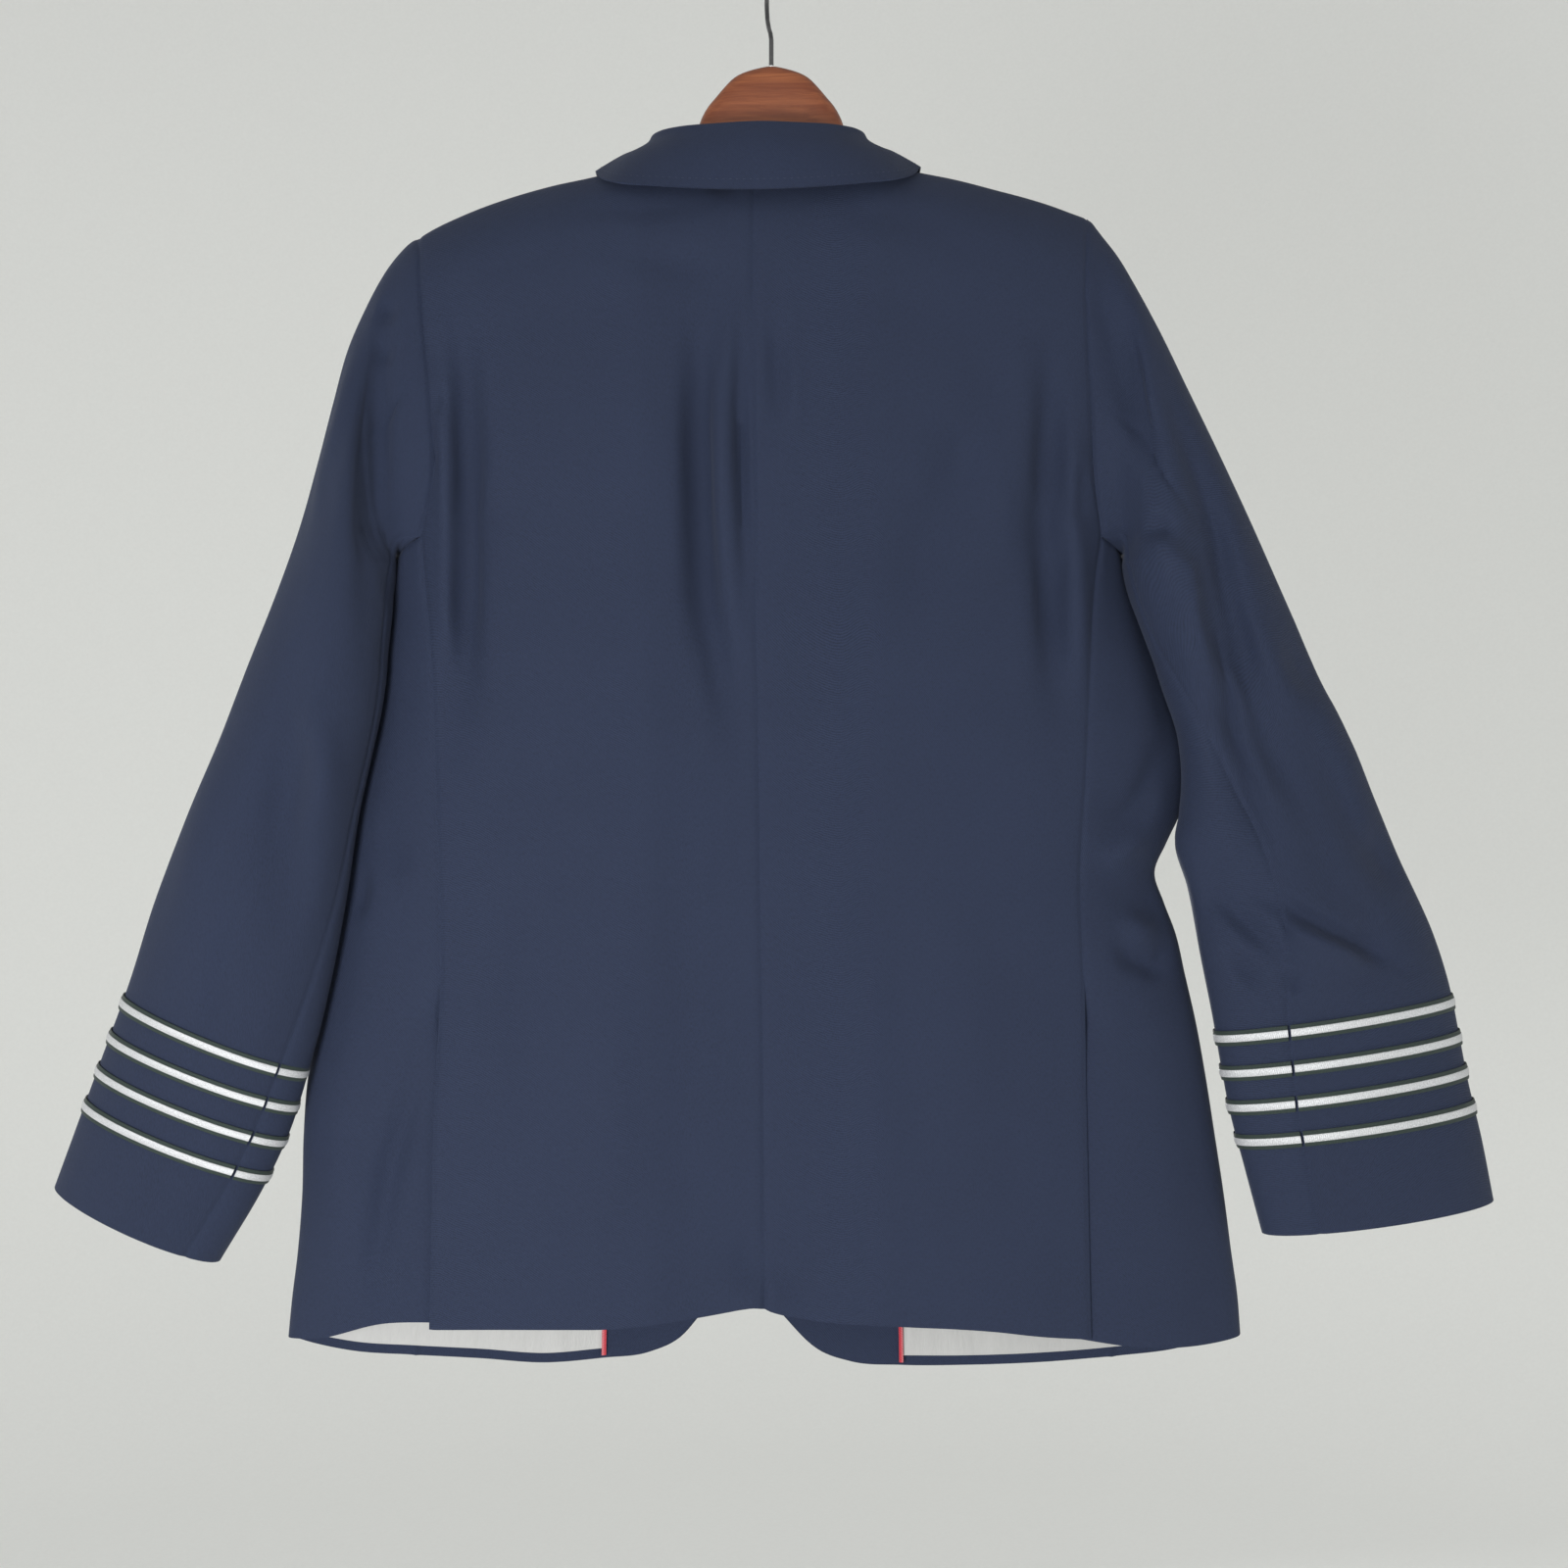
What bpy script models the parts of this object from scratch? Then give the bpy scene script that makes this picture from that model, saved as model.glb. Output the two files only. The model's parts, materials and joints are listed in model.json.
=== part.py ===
"""Pilot uniform jacket on a wooden hanger, modelled as cut and sewn cloth pieces.

Units are millimetres in the tables and metres in the scene. +Z is up, the back of
the jacket faces -Y and the wearer's left is at -X. The origin is the inner top of
the hanger's hook, where a rail carries it.
"""
import bpy
import bmesh
from math import asin, cos, exp, pi, radians, sin, sqrt
from mathutils import Matrix, Vector

MM = 0.001
CLOTH = 1.8
SLEEVE_CLOTH = 1.5
BRAID_LIFT = 0.7
SEAM_GAP = 0.3
SLEEVE_SEAM_GAP = 0.6
SKIN_GAP = 0.4
SHARP_ANGLE = 40.0
LINING_WALL = 1.2
PIPING_WIDTH = 3.0
PIPING_WALL = 1.6
PIPING_RISE = 0.08

# Torso section: a flattened oval, squarer than an ellipse
OVAL_ACROSS = 2.6
OVAL_DEEP = 2.2
SHOULDER_ROUND = 60.0
NECK_DIP = 25.0
UNDERARM_DIP = 11.0
ARMPIT_Z = -381.0

# Rows of the torso: the rounded shoulder in equal turns, then down the armhole
SHOULDER_TURNS = 4
ARMHOLE_STEPS = (0.23, 0.48, 0.74, 1.0)
LOWER_ROWS = (-405, -430, -455, -480, -507, -534, -558, -578, -598, -617, -638,
              -664, -694, -732, -770, -809, -847)
VENT_ROW_Z = -664
HEM_BLEND = 0.55

# Columns as shares of the way from the centre back, or the front edge, to the side
BACK_COLUMNS = (0.0, 0.025, 0.065, 0.11, 0.16, 0.24, 0.34, 0.46, 0.60, 0.72, 0.81, 0.88, 0.94, 1.0)
FRONT_COLUMNS = (0.0, 0.04, 0.10, 0.18, 0.28, 0.42, 0.60, 0.80, 1.0)
PIPING_COLUMN = 5
SIDE_COLUMNS = (0.0, 0.08, 0.26, 0.44, 0.58, 0.72, 0.86, 1.0)
UNDERLAP = 16.0
UNDERLAP_DEPTH = 4.4

# z, left edge x, right edge x, back half depth, front half depth
BODY = [
    (-110, -266, 243, 44, 42),
    (-200, -266, 243, 50, 45),
    (-300, -262, 240, 50, 45),
    (-345, -253, 233, 48, 44),
    (-381, -243, 227, 45, 42),
    (-392, -244, 229, 45, 41),
    (-405, -247, 232, 44, 40),
    (-430, -251, 242, 44, 40),
    (-455, -254, 251, 44, 39),
    (-480, -256, 259, 43, 39),
    (-507, -260, 268, 43, 38),
    (-534, -267, 271, 42, 38),
    (-558, -272, 269, 42, 37),
    (-578, -275, 260, 42, 37),
    (-598, -278, 252, 41.6, 36.7),
    (-617, -281, 258, 41.2, 36.5),
    (-638, -285, 266, 40.7, 36.2),
    (-664, -290, 272, 40, 35.7),
    (-694, -297, 279, 40, 35),
    (-732, -305, 286, 38, 34),
    (-770, -308, 292, 37, 33),
    (-809, -309, 298, 36, 32),
    (-847, -312, 303, 34, 30),
    (-890, -317, 308, 32, 28),
    (-930, -320, 310, 31, 27),
]
# The side edges lean to the front, and the sleeves' inner edges to the back
EDGE_LEAN = 9.0
EDGE_LEAN_TOP = -388.0
EDGE_LEAN_FULL = -425.0
SLEEVE_LEAN = -15.0
SLEEVE_LEAN_FULL = 5.0

# x, top of the shoulder ridge
RIDGE = [
    (-232, -185), (-225, -181), (-214, -175), (-200, -169), (-182, -162), (-163, -156),
    (-145, -151), (-125, -147), (-116, -144.8), (-104, -142), (-90, -138.2), (-77, -133.5),
    (60, -133.5), (72, -136.5), (86, -139.6), (101, -142.6), (116, -145.4), (136, -150.4),
    (159, -156), (180, -162), (200, -169), (209, -172),
]
NECK_LEFT = -77.0
NECK_RIGHT = 60.0

# z, centre back seam x
CENTRE_BACK = [
    (-110, -9), (-163, -11), (-291, -12), (-416, -10), (-515, -8), (-602, -7), (-726, -5), (-900, -4),
]

# z, x of the armhole and then of the side back seam
BACK_SIDE_LEFT = [
    (-184, -230), (-200, -226), (-225, -224), (-263, -220), (-288, -218), (-332, -215),
    (-354, -217), (-381, -225), (-427, -221), (-477, -217), (-527, -215), (-578, -213),
    (-634, -211), (-671, -211), (-728, -215), (-821, -217), (-890, -219),
]
BACK_SIDE_RIGHT = [
    (-171, 207), (-185, 203), (-225, 201), (-257, 202), (-288, 204), (-320, 205),
    (-345, 207), (-381, 213), (-415, 208), (-477, 204), (-540, 201), (-603, 198),
    (-665, 200), (-728, 201), (-821, 203), (-896, 205),
]
# z, x of the front armhole and then of the front side seam
FRONT_SIDE_LEFT = [
    (-184, -230), (-200, -222), (-225, -215), (-260, -208), (-300, -204), (-340, -205),
    (-381, -212), (-450, -208), (-550, -210), (-650, -217), (-760, -227), (-915, -236),
]
FRONT_SIDE_RIGHT = [
    (-171, 207), (-185, 199), (-225, 190), (-260, 186), (-300, 184), (-340, 187),
    (-381, 195), (-450, 194), (-550, 198), (-650, 205), (-760, 215), (-915, 226),
]
# z, x of the roll line and then of the front edge
FRONT_EDGE_LEFT = [
    (-131, -77), (-150, -74), (-190, -66), (-300, -29), (-400, 6), (-480, 8), (-560, 6),
    (-700, -8), (-820, -17), (-870, -22),
]
FRONT_EDGE_RIGHT = [
    (-131, 60), (-150, 57), (-190, 49), (-300, 12), (-400, -30), (-480, -34), (-560, -34),
    (-700, -27), (-820, -19), (-870, -15),
]
# x, hem z
BACK_HEM = [
    (-219, -890), (-180, -889), (-106, -888), (-45, -880), (-26, -876), (-11, -873), (-4, -874),
    (6, -878), (43, -884), (78, -886), (133, -889), (177, -894), (205, -896),
]
SIDE_HEM_LEFT = [(-319, -903), (-290, -899), (-264, -893), (-245, -887), (-219, -886), (-190, -886)]
SIDE_HEM_RIGHT = [(180, -892), (205, -895), (225, -901), (265, -904), (309, -901)]
FRONT_HEM_LEFT = [
    (-319, -903), (-289, -914), (-236, -919), (-190, -922), (-150, -925), (-121, -923),
    (-83, -920), (-67, -914), (-53, -903), (-44, -891), (-33, -880), (-22, -870),
]
FRONT_HEM_RIGHT = [
    (-15, -868), (-6, -877), (6, -891), (21, -909), (38, -919), (58, -925), (81, -927),
    (106, -927), (151, -926), (226, -920), (254, -917), (309, -901),
]
OVERLAP_LIFT_LEFT = 5.8
OVERLAP_LIFT_RIGHT = -3.4
OVERLAP_FULL = 50.0
OVERLAP_FADE = 50.0
OVERLAP_TOP = -290.0
OVERLAP_RISE = 45.0

# Sleeve stations, shoulder to cuff: outer edge x and z, inner edge x and z,
# half depth at the back, half depth at the front, turn of the hind seam in degrees
SLEEVE_LEFT = [
    (-238, -190, -247, -392, 37, 34, 152),
    (-250, -205, -248, -399, 40, 36, 155),
    (-261, -225, -248, -408, 42, 38, 158),
    (-273, -252, -249, -418, 43, 39, 160),
    (-284, -291, -249, -432, 43, 39, 162),
    (-294, -329, -250, -450, 42, 38, 164),
    (-307, -374, -251, -472, 41, 38, 166),
    (-321, -413, -254, -494, 40, 37, 168),
    (-341, -463, -260, -522, 38, 36, 170),
    (-361, -515, -268, -560, 37, 35, 168),
    (-382, -565, -275, -607, 36, 34, 162),
    (-402, -617, -284, -657, 35, 33, 152),
    (-418, -668, -295, -706, 34, 32, 144),
    (-437, -720, -310, -762, 33, 31, 138),
    (-452, -761, -327, -799, 32, 30, 136),
    (-467, -802, -356, -848, 31, 29, 134),
]
SLEEVE_RIGHT = [
    (214, -181, 233, -391, 37, 34, 152),
    (226, -197, 234, -399, 40, 36, 155),
    (237, -216, 235, -408, 42, 38, 158),
    (251, -242, 237, -419, 43, 39, 160),
    (270, -281, 241, -434, 43, 39, 162),
    (290, -322, 247, -454, 42, 38, 160),
    (311, -367, 255, -480, 41, 38, 150),
    (331, -412, 264, -508, 40, 37, 140),
    (351, -457, 267, -534, 39, 36, 128),
    (371, -502, 266, -557, 38, 35, 118),
    (392, -548, 261, -577, 37, 35, 108),
    (411, -592, 269, -607, 36, 34, 108),
    (432, -639, 278, -655, 35, 33, 112),
    (442, -671, 285, -690, 34, 32, 118),
    (449, -706, 291, -725, 33, 31, 120),
    (454, -732, 296, -751, 33, 31, 122),
    (463, -770, 306, -789, 32, 30, 124),
    (471, -811, 317, -830, 31, 29, 126),
]
CAP_STATIONS = 3.0
# Turn of the fore end of the underarm on every ring, in degrees
FORE_TURN = 218.0

# Braid centre lines: outer edge x and z, inner edge x and z
BRAIDS_LEFT = [
    (-422, -681, -300, -727), (-429, -704, -305, -749), (-437, -726, -314, -771), (-446, -748, -324, -793),
]
BRAIDS_RIGHT = [
    (444, -681, 290, -703), (449, -704, 295, -725), (454, -726, 299, -747), (459, -749, 304, -769),
]
BRAID_WIDTH = 10.0
BRAID_WALL = 1.3
BRAID_BREAK = 1.0

# Folds seen on the back: half width, height (a trough is below nought), then its
# way down the cloth as x and z
BACK_FOLDS = [
    (11, -6.0, ((-37, -221), (-43, -268), (-46, -312), (-43, -370), (-40, -428), (-31, -472), (-22, -515))),
    (6, -2.2, ((-17, -237), (-19, -291), (-17, -341), (-15, -385))),
    (8, 2.4, ((-27, -230), (-30, -300), (-30, -370), (-25, -430))),
    (7, -1.8, ((3, -236), (5, -276), (8, -316))),
    (14, -3.0, ((154, -257), (136, -301), (117, -347), (95, -400), (84, -440))),
    (10, -6.0, ((182, -251), (177, -301), (176, -369), (180, -431), (184, -493))),
    (8, 3.0, ((193, -310), (192, -369), (196, -440), (197, -500))),
    (10, -6.0, ((-197, -234), (-194, -283), (-194, -341), (-194, -399), (-197, -457), (-199, -515))),
    (8, 3.0, ((-208, -260), (-207, -320), (-206, -390), (-207, -470))),
    (16, -2.0, ((-120, -560), (-150, -640), (-160, -720))),
    (18, 2.0, ((60, -620), (75, -700), (70, -790))),
    (20, -2.2, ((-60, -640), (-75, -740), (-70, -840))),
    (14, 2.4, ((-30, -850), (-12, -880), (10, -850))),
    (14, -7.0, ((-222, -690), (-232, -738), (-246, -788), (-256, -851), (-258, -905))),
    (14, 5.0, ((-240, -690), (-258, -740), (-276, -800), (-284, -880))),
    (12, -4.0, ((207, -574), (220, -562), (238, -537), (250, -510))),
    (12, -5.0, ((222, -612), (240, -622), (258, -612))),
    (16, 4.0, ((226, -650), (236, -720), (244, -800), (250, -890))),
]
# Folds of like size on the hidden front
FRONT_FOLDS = [
    (10, -5.0, ((-186, -240), (-182, -300), (-184, -380), (-190, -470))),
    (10, -5.0, ((166, -240), (162, -310), (164, -400), (172, -480))),
    (14, -3.5, ((-40, -420), (-70, -470), (-120, -520), (-180, -550))),
    (14, -3.5, ((20, -430), (60, -480), (110, -520), (170, -560))),
    (18, 3.0, ((-110, -600), (-120, -700), (-118, -820), (-120, -910))),
    (18, 3.0, ((90, -600), (104, -700), (100, -820), (104, -910))),
    (16, -3.0, ((-60, -640), (-64, -760), (-60, -860))),
    (16, -3.0, ((44, -640), (48, -760), (46, -860))),
]
SLEEVE_FOLDS_LEFT = [
    (8, -9.0, ((-251, -238), (-247, -297), (-248, -340), (-252, -390), (-254, -440), (-256, -480))),
    (12, 3.0, ((-268, -290), (-276, -360), (-290, -430))),
    (14, -5.0, ((-296, -480), (-304, -560), (-312, -640))),
    (10, 4.0, ((-282, -480), (-290, -560), (-294, -620))),
    (14, 3.0, ((-340, -520), (-362, -600), (-372, -660))),
]
SLEEVE_FOLDS_RIGHT = [
    (9, -7.0, ((215, -207), (217, -244), (223, -285), (236, -322), (248, -356))),
    (9, -7.0, ((239, -275), (252, -306), (266, -345), (280, -395), (292, -440), (306, -490),
               (330, -560), (348, -592))),
    (8, -6.0, ((262, -384), (270, -420), (280, -478), (291, -524), (308, -571), (313, -602))),
    (8, 5.0, ((230, -370), (245, -397), (258, -420), (266, -460), (272, -520))),
    (9, -7.0, ((262, -577), (285, -600), (318, -613), (360, -633), (405, -654))),
    (8, -6.0, ((270, -592), (296, -630), (312, -650))),
    (12, 5.0, ((300, -628), (345, -646), (395, -662))),
    (12, -4.0, ((298, -462), (318, -495), (352, -540), (382, -577), (408, -610))),
    (12, 4.0, ((330, -470), (360, -520), (392, -570))),
]
# Folds on the sleeves' hidden front: millimetres down the sleeve and degrees round it
SLEEVE_FOLDS_FRONT = [
    (12, -5.0, ((48, 250), (120, 270), (176, 310))),
    (12, -5.0, ((160, 240), (208, 280), (224, 320))),
    (14, 4.0, ((220, 240), (300, 260), (380, 270))),
]
SLEEVE_DOWN = 400.0

# Collar stations from the centre back round to the gorge: seam, roll and outer
# edge, each as distance from the collar's middle, y and z
COLLAR = [
    (0, -41, -151, 0, -43, -125, 0, -60, -169),
    (24, -38, -149, 25, -40, -125, 34, -60, -168),
    (44, -31, -144, 46, -33, -124, 66, -58, -165),
    (57, -20, -137, 59, -20, -122, 89, -49, -160),
    (63, -9, -131.5, 64, -9, -121, 101, -30, -151),
    (64.5, -1, -130, 65.5, -1, -121, 105, -13, -142.2),
    (65.5, 7, -130.5, 66, 8, -122, 106, 2, -140.4),
    (65.5, 15, -134, 66, 17, -126, 104.5, 16, -144),
    (64, 24, -141, 64.5, 26, -135, 101, 31, -157),
    (60, 34, -156, 60.5, 36, -151, 92, 45, -171),
]
COLLAR_MIDDLE = -8.5
COLLAR_TILT = 0.0133
COLLAR_WALL = 1.5
COLLAR_BULGE = 3.0
COLLAR_ROLL = 6.6
# Depth that the collar's outward direction is measured from
COLLAR_CENTRE_Y = 5.0
# Share of the roll's width and rise at the points over the roll
ROLL_NEAR = (0.2, 2.4)
ROLL_CROWN = (0.6, 2.6)
ROLL_DROP = 1.5
# Share of the fall and of its bulge at the points below the roll
FALL_UPPER = (0.4, 1.0)
FALL_LOWER = (0.75, 0.6)
FALL_FULL = 40.0

# Lapel width at each torso row below the gorge, in millimetres along the row
LAPEL_FIRST_ROW = 3
LAPEL_WIDTHS = (64.0, 73.0, 74.0, 62.0, 43.0, 24.0, 8.0)
LAPEL_SHARES = (0.0, 0.2, 0.45, 0.72, 1.0)
LAPEL_LIFT = 1.2

# Hanger: x, top z, bottom z, half thickness
HANGER = [
    (0, -71.5, -140, 7.5), (9, -73, -141, 8), (24, -79, -145, 9), (31, -86, -149, 10),
    (36, -92, -152, 10.5), (41, -98, -155, 11), (45, -105, -158, 11), (48, -114, -160, 11),
    (50, -125, -162, 11), (52, -138, -164, 11.5), (60, -140, -169, 12), (72, -141.5, -175, 13),
    (86, -143.2, -181, 14), (101, -145.6, -186, 15), (116, -148.4, -190, 15), (136, -153.8, -194, 15),
    (159, -160, -197, 14.5), (180, -166.4, -198, 13), (193, -171, -197, 12), (201, -175.5, -193, 9),
    (204, -180.5, -188, 4),
]
HANGER_SIDES = 12
WIRE = 3.0
HOOK_INNER = 21.0
HOOK_YAW = 8.0
# Stem from the wood up to the hook: sideways from the middle, z
STEM = ((0.0, -62.0), (0.0, -54.0), (4.0, -48.5), (12.0, -42.0), (19.0, -34.0))
HOOK_START = -14.0
HOOK_STEP = 12.0
HOOK_STEPS = 19
BUTTON_RADIUS = 10.0
BUTTON_HEIGHTS = (-425.0, -540.0)
BUTTON_INSET = 17.0
BUTTON_STAND = 1.0
BUTTON_STEPS = 16
# Radius and height of the button's domed profile
BUTTON_PROFILE = [
    (0.001, 5.6), (3.5, 5.2), (6.6, 4.1), (8.9, 2.3), (BUTTON_RADIUS, 1.1), (BUTTON_RADIUS, 0.5),
    (9.2, 0.0), (0.001, 0.0),
]


def table_value(table, key, column=1):
    """Smooth value of a column at a key, from rows sorted by their first column."""
    rows = sorted(table)
    if key <= rows[0][0]:
        return rows[0][column]
    if key >= rows[-1][0]:
        return rows[-1][column]
    at = next(i for i in range(len(rows) - 1) if rows[i + 1][0] >= key)
    x0, x1 = rows[at][0], rows[at + 1][0]
    y0, y1 = rows[at][column], rows[at + 1][column]
    slope = (y1 - y0) / (x1 - x0)

    def tangent(index):
        if index <= 0 or index >= len(rows) - 1:
            return slope
        before = (rows[index][column] - rows[index - 1][column]) / (rows[index][0] - rows[index - 1][0])
        after = (rows[index + 1][column] - rows[index][column]) / (rows[index + 1][0] - rows[index][0])
        return 0.0 if before * after <= 0 else 2 * before * after / (before + after)

    t = (key - x0) / (x1 - x0)
    m0, m1 = tangent(at) * (x1 - x0), tangent(at + 1) * (x1 - x0)
    return ((2 * t ** 3 - 3 * t ** 2 + 1) * y0 + (t ** 3 - 2 * t ** 2 + t) * m0
            + (3 * t ** 2 - 2 * t ** 3) * y1 + (t ** 3 - t ** 2) * m1)


def mix(a, b, t):
    return a + (b - a) * t


def fold_height(x, z, folds):
    """Sum of the soft troughs and ridges at a place on the cloth."""
    total = 0.0
    for half_width, height, way in folds:
        lengths = [sqrt((b[0] - a[0]) ** 2 + (b[1] - a[1]) ** 2) for a, b in zip(way, way[1:])]
        whole = sum(lengths)
        best, share, run = 1e9, 0.0, 0.0
        for (ax, az), (bx, bz), length in zip(way, way[1:], lengths):
            t = ((x - ax) * (bx - ax) + (z - az) * (bz - az)) / length ** 2
            t = min(1.0, max(0.0, t))
            gap = sqrt((x - mix(ax, bx, t)) ** 2 + (z - mix(az, bz, t)) ** 2)
            if gap < best:
                best, share = gap, (run + t * length) / whole
            run += length
        if best < 3 * half_width:
            ends = min(1.0, 4 * share, 4 * (1 - share))
            total += height * exp(-(best / half_width) ** 2) * (0.25 + 0.75 * ends)
    return total


def shoulder_turn(drop):
    """How far the cloth has come over the shoulder at a drop below its ridge."""
    if drop >= SHOULDER_ROUND:
        return 1.0
    return sqrt(max(0.0, 1 - (1 - max(drop, 0.0) / SHOULDER_ROUND) ** 2))


def ridge(x):
    return table_value(RIDGE, x)


def neck_drop(x):
    """Drop of the back neck seam below the shoulder ridge's level."""
    middle = (NECK_LEFT + NECK_RIGHT) / 2
    half = (NECK_RIGHT - NECK_LEFT) / 2
    share = (x - middle) / half
    if abs(share) >= 1:
        return 0.0
    depth = 1 - (1 - NECK_DIP / SHOULDER_ROUND) ** 2
    return SHOULDER_ROUND * (1 - sqrt(1 - depth * (1 - share ** 2)))


def edge_lean(share, z):
    """How far the side of the torso leans to the front."""
    down = min(1.0, max(0.0, (z - EDGE_LEAN_TOP) / (EDGE_LEAN_FULL - EDGE_LEAN_TOP)))
    return EDGE_LEAN * down * share ** 6


def torso_y(x, z, front):
    """Depth of the torso's cloth at a place seen from the back."""
    middle = table_value(CENTRE_BACK, z)
    edge = table_value(BODY, z, 1 if x < middle else 2)
    depth = table_value(BODY, z, 4 if front else 3)
    share = min(1.0, abs((x - middle) / (edge - middle)))
    oval = (1 - share ** OVAL_ACROSS) ** (1 / OVAL_DEEP)
    out = depth * oval * shoulder_turn(ridge(x) - z)
    fade = min(1.0, max(0.0, (ridge(x) - z) / SHOULDER_ROUND)) * min(1.0, oval * 2)
    out += fade * fold_height(x, z, FRONT_FOLDS if front else BACK_FOLDS)
    return (out if front else -out) + edge_lean(share, z)


def row_height(x, row, hem, drop):
    """Height of a torso row at x, from the shoulder's edge to the hem."""
    top = ridge(x) - drop
    rounded = ridge(x) - SHOULDER_ROUND
    if row <= SHOULDER_TURNS:
        turned = SHOULDER_ROUND * (1 - cos(pi / 2 * row / SHOULDER_TURNS))
        return mix(top, rounded, turned / SHOULDER_ROUND)
    row -= SHOULDER_TURNS
    if row <= len(ARMHOLE_STEPS):
        return mix(rounded, ARMPIT_Z, ARMHOLE_STEPS[row - 1])
    row -= len(ARMHOLE_STEPS)
    if row <= len(LOWER_ROWS):
        return LOWER_ROWS[row - 1]
    bottom = table_value(hem, x)
    return mix(LOWER_ROWS[-1], bottom, HEM_BLEND) if row == len(LOWER_ROWS) + 1 else bottom


ARMPIT_ROW = SHOULDER_TURNS + len(ARMHOLE_STEPS)
LAST_ROW = ARMPIT_ROW + len(LOWER_ROWS) + 2
VENT_ROW = ARMPIT_ROW + 1 + LOWER_ROWS.index(VENT_ROW_Z)
FACING_TOP_ROW = ARMPIT_ROW + 3
FACING_RISE = 1.5
FACING_INSET = 1.0
LINING_TOP_ROW = LAST_ROW - 6
LINING_RISE = 7.0
LINING_SIDE_COLUMN = 2


def overlap_lift(across, z, lift):
    """How far a front stands off where the fronts lap, from its edge inwards."""
    down = min(1.0, max(0.0, (OVERLAP_TOP - z) / OVERLAP_RISE))
    fade = min(1.0, max(0.0, (across - OVERLAP_FULL) / OVERLAP_FADE))
    return lift * down * (0.5 + 0.5 * cos(pi * fade))


# Each torso point's height depends on its x and the other way round, so both are settled in turns
SETTLE_TURNS = 30
SETTLE_SHARE = 0.7
UPPER_START_Z = -200.0
LOWER_START_Z = -600.0


def torso_panel(inner, outer, columns, hem, front, lift=0.0):
    """Grid of a back or front panel between its inner and outer edge tables."""
    grid = []
    for row in range(LAST_ROW + 1):
        line = []
        for share in columns:
            z = LOWER_START_Z if row > ARMPIT_ROW else UPPER_START_Z
            x = 0.0
            for _ in range(SETTLE_TURNS):
                x = mix(table_value(inner, z), table_value(outer, z), share)
                z = mix(z, row_height(x, row, hem, 0.0 if front else neck_drop(x)), SETTLE_SHARE)
            y = torso_y(x, z, front)
            if front:
                y += overlap_lift(abs(x - table_value(inner, z)), z, lift)
            line.append(Vector((x, y, z)))
        grid.append(line)
    return grid


def side_panel(back, front, hem, front_hem, side):
    """Grid that wraps round the side from the back panel's seam to the front's."""
    grid = []
    for row in range(ARMPIT_ROW, LAST_ROW + 1):
        start, end = back[row][-1], front[row][-1]
        line = []
        for number, share in enumerate(SIDE_COLUMNS):
            z = mix(start.z, end.z, share)
            if row == ARMPIT_ROW:
                z -= UNDERARM_DIP * sin(pi * share)
            middle = table_value(CENTRE_BACK, z)
            edge = table_value(BODY, z, 1 if side < 0 else 2) - middle
            turn_in = asin(min(1.0, abs((start.x - middle) / edge)) ** (OVAL_ACROSS / 2))
            turn_out = pi - asin(min(1.0, abs((end.x - middle) / edge)) ** (OVAL_ACROSS / 2))
            turn = mix(turn_in, turn_out, share)
            x = middle + edge * sin(turn) ** (2 / OVAL_ACROSS)
            is_front = turn > pi / 2
            if row > LAST_ROW - 2:
                bottom = table_value(front_hem if is_front else hem, x)
                z = mix(LOWER_ROWS[-1], bottom, HEM_BLEND) if row == LAST_ROW - 1 else bottom
            swell = abs(cos(turn)) ** (2 / OVAL_DEEP)
            depth = table_value(BODY, z, 4 if is_front else 3)
            fold = min(1.0, swell * 2) * fold_height(x, z, FRONT_FOLDS if is_front else BACK_FOLDS)
            y = (depth * swell + fold) * (1 if is_front else -1) + edge_lean(abs((x - middle) / edge), z)
            point = Vector((x, y, z))
            if number == 0:
                point = start.copy()
                point.z = z if row > VENT_ROW + 1 else start.z
            if number == len(SIDE_COLUMNS) - 1:
                point = end.copy()
            if row > VENT_ROW and number < 2:
                point.y = max(point.y, start.y + UNDERLAP_DEPTH)
                if number == 0 and row > VENT_ROW + 1:
                    point.x -= side * UNDERLAP
                    point.y = torso_y(point.x, point.z, False) + UNDERLAP_DEPTH
            line.append(point)
        grid.append(line)
    return grid


def armhole_loop(back, side_grid, front):
    """Closed loop of the armhole: down the back, under the arm and up the front."""
    loop = [back[row][-1].copy() for row in range(ARMPIT_ROW + 1)]
    loop += [point.copy() for point in side_grid[0][1:]]
    loop += [front[row][-1].copy() for row in range(ARMPIT_ROW - 1, 0, -1)]
    return loop


def ring_turns(hind):
    """Turn of each ring point in degrees: shoulder, back, under the arm, front."""
    under = len(SIDE_COLUMNS) - 1
    turns = [hind * number / ARMPIT_ROW for number in range(ARMPIT_ROW + 1)]
    turns += [mix(hind, FORE_TURN, number / under) for number in range(1, under + 1)]
    turns += [mix(FORE_TURN, 360.0, number / ARMPIT_ROW) for number in range(1, ARMPIT_ROW)]
    return turns


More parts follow.
